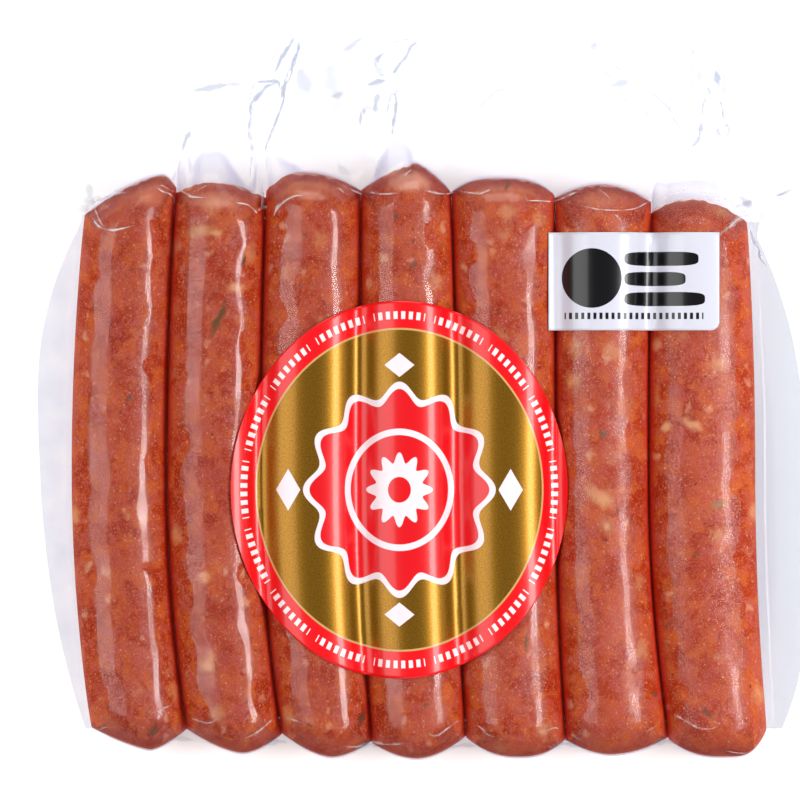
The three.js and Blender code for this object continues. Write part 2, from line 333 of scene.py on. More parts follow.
# Pinched folds of film over the meat, each with a painted pale highlight along it: half width, how strongly
# the painted highlight shows, and the points each runs through.
PALE_FOLDS = (
    # over the head ends, from left to right
    (0.42, 1.0, ((-83.5, 44.8), (-81.2, 42.5), (-79.0, 40.8), (-76.8, 40.5), (-74.2, 41.2), (-71.2, 42.2))),
    (0.29, 0.7, ((-82.0, 47.8), (-81.5, 45.5), (-80.5, 43.5), (-78.5, 41.2))),
    (0.38, 0.6, ((-82.8, 47.5), (-79.8, 48.8), (-76.2, 50.0), (-73.2, 50.2))),
    (0.25, 0.6, ((-81.5, 48.2), (-76.2, 51.0), (-70.8, 52.8), (-66.5, 54.5))),
    (0.29, 1.0, ((-67.2, 51.8), (-65.0, 50.5), (-63.2, 49.8), (-62.2, 48.0), (-62.0, 45.0))),
    (0.2, 0.7, ((-67.0, 52.0), (-64.8, 52.0), (-63.0, 51.0), (-61.2, 50.0))),
    (0.34, 0.9, ((-61.2, 51.5), (-59.8, 50.0), (-57.8, 49.0), (-55.8, 48.8), (-53.5, 49.0))),
    (0.16, 0.5, ((-57.2, 50.0), (-55.2, 51.5), (-52.8, 52.5))),
    (0.29, 1.0, ((-47.5, 47.5), (-45.5, 47.2), (-43.8, 47.0), (-42.2, 46.2), (-40.8, 44.8), (-39.0, 43.8))),
    (0.5, 0.9, ((-42.0, 45.0), (-40.2, 46.2), (-38.8, 46.5), (-37.5, 44.5))),
    (0.38, 0.9, ((-41.5, 45.0), (-40.0, 43.8), (-38.2, 43.2), (-36.2, 46.5), (-34.2, 48.2), (-31.5, 49.2),
                 (-28.5, 49.0))),
    (0.25, 0.8, ((-23.0, 51.5), (-20.8, 51.2), (-19.2, 50.0))),
    (0.25, 0.8, ((-18.5, 51.5), (-17.2, 50.5), (-15.0, 49.5))),
    (0.29, 0.9, ((-14.2, 50.2), (-12.0, 49.8), (-9.2, 49.5), (-6.0, 49.5))),
    (0.34, 0.9, ((0.0, 50.5), (2.8, 50.0), (5.5, 50.0), (8.5, 50.2))),
    (0.29, 0.8, ((-4.5, 53.2), (-3.8, 54.8), (-2.8, 55.8))),
    (0.29, 0.8, ((9.8, 50.2), (12.8, 50.0), (15.0, 50.2), (16.8, 51.0))),
    (0.29, 0.9, ((25.2, 50.0), (25.8, 48.2), (28.2, 48.0), (30.8, 47.8), (33.5, 47.8))),
    (0.42, 0.7, ((30.5, 47.5), (33.2, 48.2), (35.8, 49.2), (38.5, 50.5))),
    (0.2, 0.9, ((37.5, 47.0), (41.8, 46.2), (45.5, 45.5), (49.2, 45.5), (51.8, 46.0), (54.5, 47.0),
                 (57.5, 48.5))),
    (0.16, 0.6, ((43.0, 52.5), (44.5, 50.8), (46.2, 48.2))),
    (0.38, 0.8, ((56.0, 45.0), (58.2, 46.5), (61.2, 47.5), (64.2, 48.2), (67.5, 48.8))),
    (0.42, 0.9, ((66.5, 48.8), (69.2, 49.0), (71.8, 48.8), (74.0, 48.2))),
    (0.25, 0.7, ((58.0, 48.8), (61.8, 49.5), (65.2, 51.0), (68.0, 51.8))),
    (0.25, 0.7, ((69.2, 50.2), (72.2, 50.0), (74.8, 49.0), (77.5, 47.0))),
    (0.84, 0.5, ((73.0, 38.5), (75.5, 40.8), (78.5, 43.5), (81.2, 46.0), (83.5, 47.2))),
    (0.2, 0.8, ((73.5, 39.2), (76.2, 41.5), (79.2, 44.0), (82.2, 46.2))),
    (0.2, 0.8, ((77.0, 45.8), (79.8, 45.8), (82.2, 46.2))),
    # in the gap between the second and third head end
    (0.42, 0.8, ((-40.2, 51.8), (-40.2, 49.0), (-40.2, 46.2))),
    # down the sides of the sausages
    (0.13, 0.8, ((-62.2, 45.5), (-63.0, 38.5), (-63.6, 33.0), (-64.0, 26.0))),
    (0.13, 0.8, ((-40.4, 43.5), (-40.8, 37.2), (-41.0, 26.0))),
    (0.13, 0.8, ((-16.1, 49.0), (-16.4, 38.5), (-16.2, 24.8))),
    (0.13, 0.7, ((33.2, 47.5), (33.0, 44.0), (33.0, 40.8))),
    (0.13, 0.7, ((56.5, 45.2), (56.2, 43.0), (56.2, 40.5))),
    (0.17, 0.5, ((0.2, 29.8), (2.0, 28.2), (3.8, 27.0), (1.8, 25.8), (0.5, 24.2))),
    (0.17, 0.7, ((47.2, 44.8), (49.0, 43.2), (50.0, 40.5))),
    # over the foot ends, from left to right
    (0.25, 0.45, ((-82.0, -84.2), (-79.5, -83.2), (-77.8, -83.2))),
    (0.29, 0.52, ((-68.5, -80.2), (-64.5, -78.2), (-61.8, -76.8), (-60.2, -77.2))),
    (0.25, 0.6, ((-60.8, -76.5), (-59.5, -79.0), (-57.0, -80.8), (-53.2, -81.8), (-50.0, -79.0))),
    (0.34, 0.68, ((-46.5, -86.2), (-42.8, -85.0), (-39.5, -82.8), (-37.2, -81.2), (-35.2, -80.8),
                (-32.0, -81.2), (-29.2, -82.0))),
    (0.17, 0.26, ((-22.8, -74.0), (-20.2, -75.2), (-19.5, -77.8), (-22.0, -80.5))),
    (0.17, 0.26, ((-22.5, -80.5), (-21.8, -82.8), (-19.8, -81.5))),
    (0.34, 0.6, ((-20.8, -88.0), (-17.0, -87.8), (-13.2, -87.0), (-9.5, -87.2), (-3.0, -87.0))),
    (0.29, 0.6, ((0.8, -82.8), (1.5, -84.5), (3.5, -85.0), (6.0, -83.2), (9.2, -81.5), (11.0, -81.5),
                 (14.2, -83.0), (17.2, -85.2), (20.8, -86.5))),
    (0.29, 0.6, ((29.0, -84.2), (32.2, -83.2), (33.8, -83.8), (35.0, -86.0), (38.2, -87.2))),
    (0.25, 0.52, ((35.0, -82.2), (36.2, -84.2), (39.5, -86.5))),
    (0.34, 0.68, ((53.8, -84.5), (56.8, -83.2), (59.8, -82.2), (60.5, -81.5), (63.0, -80.2), (64.8, -81.2),
                (68.0, -82.8), (71.8, -83.0), (73.8, -81.8))),
    (0.17, 0.52, ((75.2, -89.0), (78.2, -89.5), (81.5, -89.5))),
)

# Folds and puffed places of the free flap, painted a grey shade against white where their film is steep: the
# same values.
TINTED_FOLDS = (
    # over the second and third sausage
    (0.68, 0.9, ((-43.2, 51.0), (-43.0, 61.0), (-43.2, 67.2), (-43.0, 72.0), (-41.8, 73.8), (-40.0, 76.0),
                 (-38.8, 77.5), (-36.5, 78.0))),
    (0.45, 0.35, ((-43.5, 72.5), (-43.2, 75.5), (-42.0, 77.8))),
    (0.68, 1.0, ((-39.5, 58.5), (-38.8, 63.0), (-37.0, 68.0), (-35.5, 71.5), (-34.8, 75.5), (-33.8, 79.5),
                 (-32.2, 83.5), (-31.2, 87.0), (-31.5, 89.5))),
    (0.75, 0.9, ((-37.0, 80.0), (-36.0, 83.2), (-34.5, 85.8), (-33.0, 87.5), (-32.2, 89.5))),
    (0.52, 0.9, ((-41.8, 78.0), (-39.2, 78.5), (-36.2, 78.2), (-35.5, 75.8))),
    (0.3, 0.4, ((-39.5, 80.0), (-37.8, 84.0), (-34.8, 87.2))),
    (0.88, 0.6, ((-58.2, 75.0), (-55.0, 76.5), (-51.2, 77.0), (-48.8, 77.0))),
    (0.45, 0.4, ((-50.2, 77.0), (-47.2, 77.5), (-44.2, 77.5))),
    (0.75, 0.7, ((-58.2, 66.5), (-59.0, 63.5), (-60.2, 60.0))),
    # over the fourth sausage
    (0.75, 0.9, ((-8.0, 63.8), (-7.2, 69.5), (-6.5, 74.0), (-6.5, 77.5))),
    (0.75, 0.9, ((-14.2, 77.2), (-11.2, 77.8), (-7.8, 78.8))),
    (0.75, 0.9, ((-9.5, 85.5), (-11.2, 83.8), (-11.8, 81.8), (-10.5, 80.0), (-8.5, 79.2))),
    (0.6, 0.9, ((-7.5, 79.8), (-6.2, 82.0), (-4.5, 84.2), (-2.8, 86.8), (-0.8, 89.2))),
    (0.38, 0.6, ((-8.2, 87.2), (-5.2, 88.8), (-1.8, 89.2))),
    (1.0, 0.7, ((-11.2, 75.5), (-11.5, 72.8), (-11.8, 69.2))),
    (0.6, 0.8, ((-15.8, 66.5), (-15.2, 70.2), (-14.2, 71.8), (-12.5, 71.0))),
    (0.45, 0.6, ((-9.0, 69.8), (-8.5, 72.5), (-7.2, 76.0))),
    (0.88, 0.6, ((-20.8, 85.8), (-18.2, 87.2), (-14.8, 89.2))),
    (2.0, 0.35, ((-30.5, 82.0), (-29.8, 78.5), (-28.8, 74.5))),
    (2.5, 0.2, ((-23.8, 83.0), (-23.0, 78.5), (-21.5, 73.5))),
    (2.5, 0.15, ((-21.8, 75.5), (-21.0, 72.5), (-21.0, 69.0))),
    (0.9, 0.2, ((-21.5, 58.5), (-20.5, 56.5), (-18.5, 54.8))),
    (1.5, 0.3, ((-0.2, 82.5), (0.0, 80.8), (-0.5, 79.0))),
    # over the fifth and sixth sausage
    (0.52, 0.4, ((11.5, 65.2), (13.5, 70.2), (16.2, 73.8), (19.2, 75.8), (22.8, 76.5))),
    (2.75, 0.2, ((13.8, 82.5), (15.0, 79.8), (15.2, 76.5))),
    (0.9, 0.7, ((42.2, 86.0), (42.8, 87.0), (43.5, 88.0))),
    (0.38, 0.5, ((43.2, 85.2), (45.5, 81.0), (48.2, 78.2))),
    (0.45, 0.5, ((47.0, 85.0), (48.5, 82.0), (51.2, 80.2))),
    (1.12, 0.6, ((46.2, 77.0), (48.8, 77.5), (51.8, 78.2))),
    (2.25, 0.3, ((47.8, 75.5), (49.8, 74.0), (52.2, 73.5))),
    (0.45, 0.5, ((54.2, 76.8), (58.0, 74.8), (61.2, 71.5), (63.2, 68.2), (65.2, 65.0))),
    (0.33, 0.45, ((54.2, 72.5), (56.8, 69.0), (59.5, 63.8))),
    # over the last sausage
    (0.52, 0.9, ((72.0, 75.0), (70.2, 73.2), (69.8, 69.0), (69.5, 65.5), (68.5, 63.0), (65.8, 61.0))),
    (0.3, 0.5, ((69.0, 64.2), (66.8, 63.0), (64.0, 60.0))),
    (0.45, 0.8, ((74.0, 74.8), (75.0, 71.0), (75.5, 67.5), (75.0, 63.5))),
    (0.68, 0.8, ((73.8, 66.5), (74.0, 65.0), (74.8, 63.5))),
    (0.3, 0.6, ((74.8, 64.0), (74.0, 60.5), (71.8, 56.8))),
    (0.45, 0.7, ((75.5, 67.5), (76.2, 66.0), (75.5, 64.0))),
    (1.06, 1.0, ((73.0, 81.2), (73.5, 78.8), (74.2, 76.0))),
    (0.38, 0.7, ((73.0, 82.0), (75.0, 80.0), (75.5, 76.8), (74.5, 74.2))),
    (0.3, 0.5, ((67.2, 84.5), (67.2, 80.5), (68.0, 77.2), (70.2, 77.5), (73.2, 76.5))),
    (0.6, 0.6, ((67.5, 84.8), (67.8, 86.0), (68.5, 86.8))),
    (0.75, 0.4, ((69.5, 77.5), (69.2, 80.5), (70.8, 82.2))),
    (0.45, 0.7, ((71.0, 76.5), (71.8, 75.5), (72.2, 74.5))),
    # in the folded corner
    (1.0, 0.45, ((77.5, 46.8), (81.2, 47.5), (84.8, 48.8), (88.2, 50.0), (91.2, 50.8))),
    (0.52, 0.9, ((87.2, 49.2), (90.2, 50.2), (92.8, 51.5))),
    (1.5, 0.5, ((83.5, 45.0), (85.8, 43.8), (88.8, 43.8))),
    (1.12, 0.5, ((78.8, 49.5), (81.2, 47.5), (84.2, 46.5))),
    (0.45, 0.8, ((81.2, 41.0), (83.5, 36.8), (85.8, 31.5))),
    (1.2, 0.3, ((-84.2, 53.5), (-83.4, 49.5), (-84.2, 45.5))),
    (1.1, 0.22, ((-87.0, 46.0), (-83.6, 47.2), (-80.4, 49.5))),
    # across the notches between the feet
    (0.8, 0.35, ((-63.8, -87.0), (-60.2, -86.0), (-57.0, -86.8))),
    (0.8, 0.4, ((-40.5, -88.0), (-36.5, -86.8), (-33.5, -87.2))),
    (0.9, 0.4, ((-17.2, -88.2), (-13.5, -87.4), (-10.8, -88.0))),
    (0.8, 0.4, ((6.4, -88.6), (10.2, -87.6), (13.6, -88.2))),
    (0.8, 0.4, ((31.4, -88.2), (35.0, -87.2), (38.6, -87.8))),
    (0.9, 0.4, ((56.6, -87.8), (60.0, -86.6), (63.4, -87.4))),
)

# Places where the two films of the flap have parted: height, width of the steep rim, and the outline.
BLISTERS = (
    (1.5, 0.8, ((-41.4, 51.5), (-42.8, 60.5), (-42.6, 72.0), (-40.2, 75.8), (-36.0, 77.4), (-34.0, 75.6),
                (-35.8, 69.8), (-39.4, 60.5))),
    (1.3, 0.6, ((-36.5, 80.2), (-36.2, 84.4), (-34.0, 87.6), (-32.6, 89.8), (-30.8, 88.6), (-31.4, 84.8),
                (-33.0, 81.2), (-34.4, 77.8))),
    (1.2, 0.8, ((-15.4, 71.6), (-15.8, 76.0), (-12.0, 79.4), (-8.0, 78.6), (-6.4, 73.0), (-7.6, 64.5),
                (-10.4, 60.0), (-13.0, 63.5))),
    (0.9, 0.6, ((-11.6, 83.4), (-10.4, 87.0), (-7.0, 90.0), (-4.0, 89.0), (-6.0, 84.0), (-9.6, 80.4))),
    (1.5, 0.7, ((66.9, 62.0), (70.2, 65.4), (70.4, 73.4), (68.8, 77.4), (69.4, 82.6), (72.6, 84.6),
                (75.4, 81.0), (75.8, 76.4), (75.0, 72.0), (75.6, 67.0), (74.8, 62.0))),
    (0.7, 0.6, ((54.6, 50.6), (54.8, 52.6), (58.0, 53.2), (65.0, 53.2), (72.0, 54.0), (76.6, 53.8),
                (78.6, 51.0), (74.0, 49.6), (64.0, 50.6))),
    (0.6, 0.7, ((-58.0, 54.0), (-57.0, 60.4), (-50.0, 61.0), (-45.4, 58.0), (-44.6, 54.0))),
    (0.7, 0.6, ((-12.4, 54.2), (-9.0, 63.4), (-2.4, 63.0), (-3.2, 58.6), (-5.4, 56.8))),
)

# Pleats that run up the flap from between the head ends: side line, lean, half width in steps of q, height
# and the y where each ends.
PLEATS = (
    (1, 0.16, 0.1, 0.9, 70),
    (2, 0.42, 0.13, 1.2, 91),
    (3, 0.62, 0.13, 1.1, 90),
    (4, -0.3, 0.16, 0.6, 76),
    (5, 0.2, 0.2, 0.6, 90),
    (6.3, 0.3, 0.13, 1.0, 88),
)
PLEAT_RISE = (44, 58)
PLEAT_FADE = 12

# Film mesh: rows over the film at the foot, the foot ends, the bodies, the head ends and the flap. All counts
# are even, as the back has half as many each way.
FILM_ROWS = (4, 44, 86, 44, 62)
END_ZONE = 16.0  # length of the dense mesh at each end
END_CROWDING = 1.5  # how much the rows crowd towards the end itself
SAUSAGE_COLUMNS = 42
SEAM_COLUMNS = 18
COLUMN_CROWDING = 0.6  # 0 spreads a sausage's columns evenly, and 1 as on a half circle
SEAM_CROWDING = 1.2  # how much the seams' columns crowd towards the bag's edge

# Uneven slack of the tents, as a share of their reach: height, length in steps of q, count and seed of the
# waves.
SLACK = ((0.08, 0.5, 8, 21), (0.06, 0.16, 8, 22))
LEAST_SLACK = 0.3

# Ripples of the film: height, length, count, seed and stretch of the waves. They grow beyond the bodies,
# where the loose film has some of its own.
DRAWN_RIPPLES = ((0.055, 8, 20, 11, 2.0), (0.009, 2.8, 20, 12, 1.6))
LOOSE_RIPPLES = ((0.2, 11, 12, 13),)
LOOSE_FROM, LOOSE_TO = 38, 52
LOOSE_GROWTH = 1.5
SEAM_CALM = 0.85  # share of the relief that the welded seams lack


def film_columns():
    """Places q across the bag, crowded at the side lines: a mix of even steps and (1 - cos) / 2."""
    t = np.arange(SAUSAGE_COLUMNS) / SAUSAGE_COLUMNS
    local = (1 - COLUMN_CROWDING) * t + COLUMN_CROWDING * (1 - np.cos(np.pi * t)) / 2
    inner = (np.arange(SAUSAGES)[:, None] + local[None]).ravel()
    out = 1 - (np.arange(SEAM_COLUMNS) / SEAM_COLUMNS) ** SEAM_CROWDING
    return np.concatenate([-out, inner, [SAUSAGES], SAUSAGES + out[::-1]])


def film_y(q):
    """y of every row at each place across: straight steps between the lines of the foot and head ends."""
    sausage = np.clip(np.floor(q), 0, SAUSAGES - 1).astype(int)
    across = np.clip((q - sausage) * 2 - 1, -1, 1)
    foot, head = foot_y(sausage, across), head_y(sausage, across)
    line = np.round(q).astype(int)
    shared = (np.abs(q - line) < 1e-6) & (line > 0) & (line < SAUSAGES)
    before, after = np.clip(line - 1, 0, SAUSAGES - 1), np.clip(line, 0, SAUSAGES - 1)
    foot = np.where(shared, (foot_y(before, 1.0) + foot_y(after, -1.0)) / 2, foot)
    head = np.where(shared, (head_y(before, 1.0) + head_y(after, -1.0)) / 2, head)
    notch = np.where((line > 0) & (line < SAUSAGES), np.exp(-(((q - line) / WEB_WIDTH) ** 2)), 0)
    edge = FOOT_MARGIN + WEB_REACH * notch
    margin, foot_zone, body, head_zone, flap = (np.linspace(0, 1, n + 1)[1:, None] for n in FILM_ROWS)
    rows = [
        (foot - edge)[None],
        foot - edge * (1 - margin),
        foot + END_ZONE * foot_zone**END_CROWDING,
        foot + END_ZONE + (head - foot - 2 * END_ZONE) * body,
        head - END_ZONE * (1 - head_zone) ** END_CROWDING,
        head + (TOP_Y - head) * flap,
    ]
    return np.concatenate(rows)


def film_cover(q, y):
    """Height of the film over the seam: the row's section times its domes, tented from the ends down to the
    flap, as far as the slack of the film there lets it."""
    sausage = np.clip(np.floor(q), 0, SAUSAGES - 1).astype(int)
    local = (q - sausage) * 2 - 1
    across = np.clip(local, -1, 1)
    half_width = (side_line(sausage + 1, y) - side_line(sausage, y)) / 2
    beyond = np.where(q < 0, side_line(0, y) - bag_x(q, y), 0) + np.where(
        q > SAUSAGES, bag_x(q, y) - side_line(SAUSAGES, y), 0)
    outside = (q <= 0.5) | (q >= SAUSAGES - 0.5)
    outer = outer_section(np.abs(across) + beyond / half_width, OUTER_LEAVES)
    section = np.where(outside, outer, covered_section(across, FILM_LEAVES))
    slack = np.maximum(1 + ripples(q, 0 * q, SLACK), LEAST_SLACK)
    reach = np.interp(q, *TENTS.T) * slack / HEAD_DOME
    to_head = tented_share((head_y(sausage, across) - y) / HEAD_DOME, reach)
    to_foot = tented_share((y - foot_y(sausage, across)) / FOOT_DOME, FOOT_REACH / FOOT_DOME)
    return HALF_HEIGHTS[sausage] * section * np.minimum(to_head, to_foot)


def up_flap(y):
    """How far up the flap y is, from 0 to 1."""
    return np.clip((y - FLAP_FOOT_Y) / (TOP_Y - FLAP_FOOT_Y), 0, 1)


def seam_height(q, y):
    """z of the seam: flat round the sausages, waving and sagging in the flap."""
    wave = sum(height * np.sin(across * q + along * y + phase) for height, across, along, phase in FLAP_WAVES)
    return SEAM_Z + up_flap(y) * wave - FLAP_SAG * up_flap(y) ** 2


def pleat_relief(q, y):
    """Height of the pleats: a bell across each that leans with the flap and fades at both of its ends."""
    relief = np.zeros(q.shape)
    for line, lean, half_width, height, top in PLEATS:
        off = (q - line - lean * up_flap(y)) / half_width
        rise = smoothstep(*PLEAT_RISE, y) * (1 - smoothstep(top - PLEAT_FADE, top, y))
        relief += height * rise * np.exp(-(off**2))
    return relief


def blister_relief(x, y):
    """Height of the parted places: a steep rim that levels out inwards, 1 - exp(-distance / rim)."""
    relief = np.zeros(x.shape)
    for height, rim, points in BLISTERS:
        path = through(points, 36, closed=True)
        rise = height * (1 - np.exp(-to_path(x, y, path) / rim))
        relief += np.where(inside_path(x, y, path), rise, 0)
    return relief


# The labels, as in the frame: their beds are more loosely drawn over the ridges than the film is.
LABEL_LEAVES = 0.78
LABEL_GAP = 0.3
LABEL_THICKNESS = 0.4
ROUND_LABEL = (-5.9, -23.8, 41.9, 47.0)
OBLONG_LABEL = (52.4, 28.0, 21.2, 12.2)
OBLONG_CORNER = 2.2


def under_labels(x, y):
    """1 under a label and 0 away from both, so that the film lies smooth there."""
    cx, cy, half_width, half_height = ROUND_LABEL
    disc = 1 - smoothstep(0.98, 1.03, np.hypot((x - cx) / half_width, (y - cy) / half_height))
    cx, cy, half_width, half_height = OBLONG_LABEL
    oblong = np.maximum(np.abs(x - cx) / half_width, np.abs(y - cy) / half_height)
    return np.maximum(disc, 1 - smoothstep(0.98, 1.04, oblong))


def film_ripples(x, y):
    """Soft unevenness of the drawn film, stronger beyond the bodies."""
    loose = smoothstep(LOOSE_FROM, LOOSE_TO, y)
    return ripples(x, y, DRAWN_RIPPLES) * (1 + LOOSE_GROWTH * loose) + loose * ripples(x, y, LOOSE_RIPPLES)


def rim_of(shape):
    """True on the four sides of a grid."""
    rim = np.zeros(shape, bool)
    rim[[0, -1]] = True
    rim[:, [0, -1]] = True
    return rim


def grid_faces(index):
    """Quads of a grid of vertex numbers, facing up where rows run along +Y and columns along +X."""
    return np.stack([index[:-1, :-1], index[:-1, 1:], index[1:, 1:], index[1:, :-1]], axis=-1).reshape(-1, 4)


def rim_triangles(index):
    """Triangles that join a fine rim to one with every second vertex, on all four sides of a grid."""
    sides = ((index[0], False), (index[-1], True), (index[:, 0], True), (index[:, -1], False))
    found = []
    for line, turned in sides:
        low, middle, high = line[:-1:2], line[1::2], line[2::2]
        corners = (low, middle, high) if turned else (high, middle, low)
        found.append(np.stack(corners, axis=-1))
    return np.concatenate(found)


def shell(front, back, step=1):
    """A closed body of two grids of points with a common rim. The back may have every second row and column.
    Gives its points, its quads, the front's first, and the triangles that join the rims."""
    rows, columns = front.shape[:2]
    index = np.arange(rows * columns).reshape(rows, columns)
    under = index[::step, ::step].copy()
    inner = np.zeros(under.shape, bool)
    inner[1:-1, 1:-1] = True
    under[inner] = rows * columns + np.arange(inner.sum())
    points = np.concatenate([front.reshape(-1, 3), back[inner]])
    top, bottom = grid_faces(index), grid_faces(under)[:, ::-1]
    triangles = rim_triangles(index) if step == 2 else np.zeros((0, 3), int)
    return points, np.concatenate([top, bottom]), triangles


def build(name, points, quads, triangles=()):
    """A smooth-shaded piece in the shared frame, from points in millimetres."""
    mesh = bpy.data.meshes.new(name)
    mesh.from_pydata((points * MM).tolist(), [], quads.tolist() + [list(t) for t in triangles])
    mesh.update()
    mesh.shade_smooth()
    piece = bpy.data.objects.new(name, mesh)
    bpy.context.scene.collection.objects.link(piece)
    return piece


def to_rim(x, y):
    """0 at the bag's sides and free edge, and 1 where the two films have their full thickness."""
    return np.clip(np.minimum(np.minimum(x - left_edge(y), right_edge(y) - x), TOP_Y - y) / RIM_TAPER, 0, 1)


def film_gap(x, y, cover):
    """The film's height over the row where it covers it, and half the two films' thickness beyond."""
    return np.minimum(cover, 1) * (FILM_GAP - WELD / 2) + WELD / 2 * to_rim(x, y)


def film_relief(q, x, y, cover):
    """Lumps, ripples and parted places, calm in the side seams and flat under the labels and at the rim."""
    relief = lumps(x, y) * np.minimum(cover / 4, 1) + film_ripples(x, y)
    relief = relief + blister_relief(x, y) + pleat_relief(q, y)
    on_seam = smoothstep(0, 0.25, -q) + smoothstep(0, 0.25, q - SAUSAGES)
    calm = 1 - SEAM_CALM * on_seam * (1 - smoothstep(38, 50, y))
    return relief * calm * (1 - under_labels(x, y)) * smoothstep(0, 1, to_rim(x, y))


def film_top(x, y):
    """z of the film's front at a place: the place q across is found first, then the front's own formula."""
    q = place_across(x, y)
    first, last = side_line(0, y), side_line(SAUSAGES, y)
    q = np.where(x < first, -(first - x) / (first - left_edge(y)), q)
    q = np.where(x > last, SAUSAGES + (x - last) / (right_edge(y) - last), q)
    cover = film_cover(q, y)
    return seam_height(q, y) + cover + film_gap(x, y, cover) + film_relief(q, x, y, cover)


FOLD_STEP = 0.35
FOLD_SIDES = 10
FOLD_WOBBLE = 0.2  # how far a fold's path strays from its smooth line
FOLD_TAPER = 0.7  # power of the sine by which its width and height fall to the tips
PINCHED_HEIGHT = 0.32
DOUBLED_HEIGHT = 0.1
FOLD_SUNK = 0.25  # share of its height by which a fold's underside dips into the film


def fold_shell(height, half_width, strength, points):
    """A fold: an oval section carried along its path over the film, tapered to both tips and closed by two
    caps. Its shade swells from 0 at the tips and the sides to the fold's strength."""
    steps = max(8, int(np.hypot(*np.diff(np.array(points), axis=0).T).sum() / FOLD_STEP))
    path = through(points, steps)
    path += FOLD_WOBBLE * np.stack([waves(*path.T, 5, 6, 41), waves(*path.T, 5, 6, 42)], axis=-1)
    ahead = np.gradient(path, axis=0)
    ahead /= np.hypot(*ahead.T)[:, None]
    swell = np.sin(np.pi * np.linspace(0.02, 0.98, steps + 1))[:, None]
    angle = 2 * np.pi * np.arange(FOLD_SIDES) / FOLD_SIDES
    uneven = np.maximum(0.5, 0.95 + 0.35 * waves(*path.T, 3, 6, 43))[:, None]
    aside = half_width * uneven * swell**FOLD_TAPER * np.cos(angle)
    up = np.minimum(half_width, height) * swell**FOLD_TAPER * np.maximum(np.sin(angle), -FOLD_SUNK)
    x = path[:, :1] - ahead[:, 1:] * aside
    y = path[:, 1:] + ahead[:, :1] * aside
    ring = np.stack([x, y, film_top(x, y) + up], axis=-1).reshape(-1, 3)
    shade = (strength * np.minimum(2 * uneven * swell, 1) * np.maximum(np.sin(angle), 0)).ravel()
    index = np.arange(len(ring)).reshape(steps + 1, FOLD_SIDES)
    closed = np.concatenate([index, index[:, :1]], axis=1)
    return ring, shade, grid_faces(closed)[:, ::-1], [index[0].tolist(), index[-1, ::-1].tolist()]


def make_folds(name, height, folds, material):
    """Folds of the film as one piece: narrow ridges that stand up from it to a height. Its attribute shade
    says how strongly each shows."""
    points, shades, quads, caps = [], [], [], []
    for fold in folds:
        ring, shade, faces, ends = fold_shell(height, *fold)
        start = sum(len(part) for part in points)
        points.append(ring)
        shades.append(shade)
        quads.append(faces + start)
        caps += [[corner + start for corner in end] for end in ends]
    piece = build(name, np.concatenate(points), np.concatenate(quads), caps)
    layer = piece.data.attributes.new("shade", "FLOAT", "POINT")
    layer.data.foreach_set("value", np.concatenate(shades))
    piece.data.materials.append(material)
    return piece


def make_film():
    """The bag's film as one closed surface, front and back, from the foot to the flap's free edge."""
    q = film_columns()
    y = film_y(q)
    q = np.broadcast_to(q, y.shape)
    x = bag_x(q, y)
    seam = seam_height(q, y)
    cover = film_cover(q, y)
    gap = film_gap(x, y, cover)
    front = np.stack([x, y, seam + cover + gap + film_relief(q, x, y, cover)], axis=-1)
    back = np.stack([x, y, np.maximum(0, seam - cover - gap)], axis=-1)
    rim = rim_of(y.shape)
    front[rim, 2] = seam[rim]
    points, quads, triangles = shell(front, back[::2, ::2], 2)
    film = build("bag_film", points, quads, triangles)
    # The drawn film's warm steep cast is painted shade over the sausages' sides and valleys. The loose film's
    # cool steep cast is painted grey shade on its tents.
    film.data.materials.append(clear_film("drawn_laminate_film", "fefeff", "dcbcb6", 0.2, 0.1))
    film.data.materials.append(clear_film("loose_laminate_film", "feffff", "e9ebf4", 0.04, 0.6))
    film.data.materials.append(seam_film())
    film.data.polygons.foreach_set("material_index", film_numbers(film.data, q))
    crease_rim(film.data, y.shape)
    return film


def crease_rim(mesh, shape):
    """Marks the edges between front and back as sharp, so that both are shaded as flat as they lie there."""
    rim = np.zeros(len(mesh.vertices), bool)
    rim[:shape[0] * shape[1]] = rim_of(shape).ravel()
    ends = np.empty(len(mesh.edges) * 2, int)
    mesh.edges.foreach_get("vertices", ends)
    mesh.edges.foreach_set("use_edge_sharp", rim[ends.reshape(-1, 2)].all(axis=1))


def film_numbers(mesh, q):
    """Number of each face's film: 0 drawn over the sausages, 1 loose beyond them, 2 in the side seams."""
    beside = (q[0, :-1] < -1e-6) | (q[0, 1:] > SAUSAGES + 1e-6)
    flap_row = sum(FILM_ROWS[:4])
    front = np.zeros((len(q) - 1, len(beside)), np.int32)
    front[:flap_row, beside] = 2
    front[flap_row:] = 1
    front[:FILM_ROWS[0]] = np.maximum(front[:FILM_ROWS[0]], 1)
    back = front[::2, ::2]
    numbers = np.zeros(len(mesh.polygons), np.int32)
    numbers[:front.size] = front.ravel()
    numbers[front.size:front.size + back.size] = back.ravel()
    return numbers


# Sausage mesh.
MEAT_COLUMNS = 64
MEAT_ROWS = (26, 110, 30)  # over the foot dome, the body and the head dome
HEAD_UNEVENNESS = 0.35  # how far the line of a head end falls back in places
JUICE_AND_VALLEY_SHADE = (0.8, 0.97)  # places across between which the red juice that gathers at the side lines, and the painted red shade there, start to show
PUCKER_DEPTH = 0.5
PUCKER_FOLDS = (9, 11, 8, 13, 10, 9, 11)
PUCKER_LENGTH = 3.2


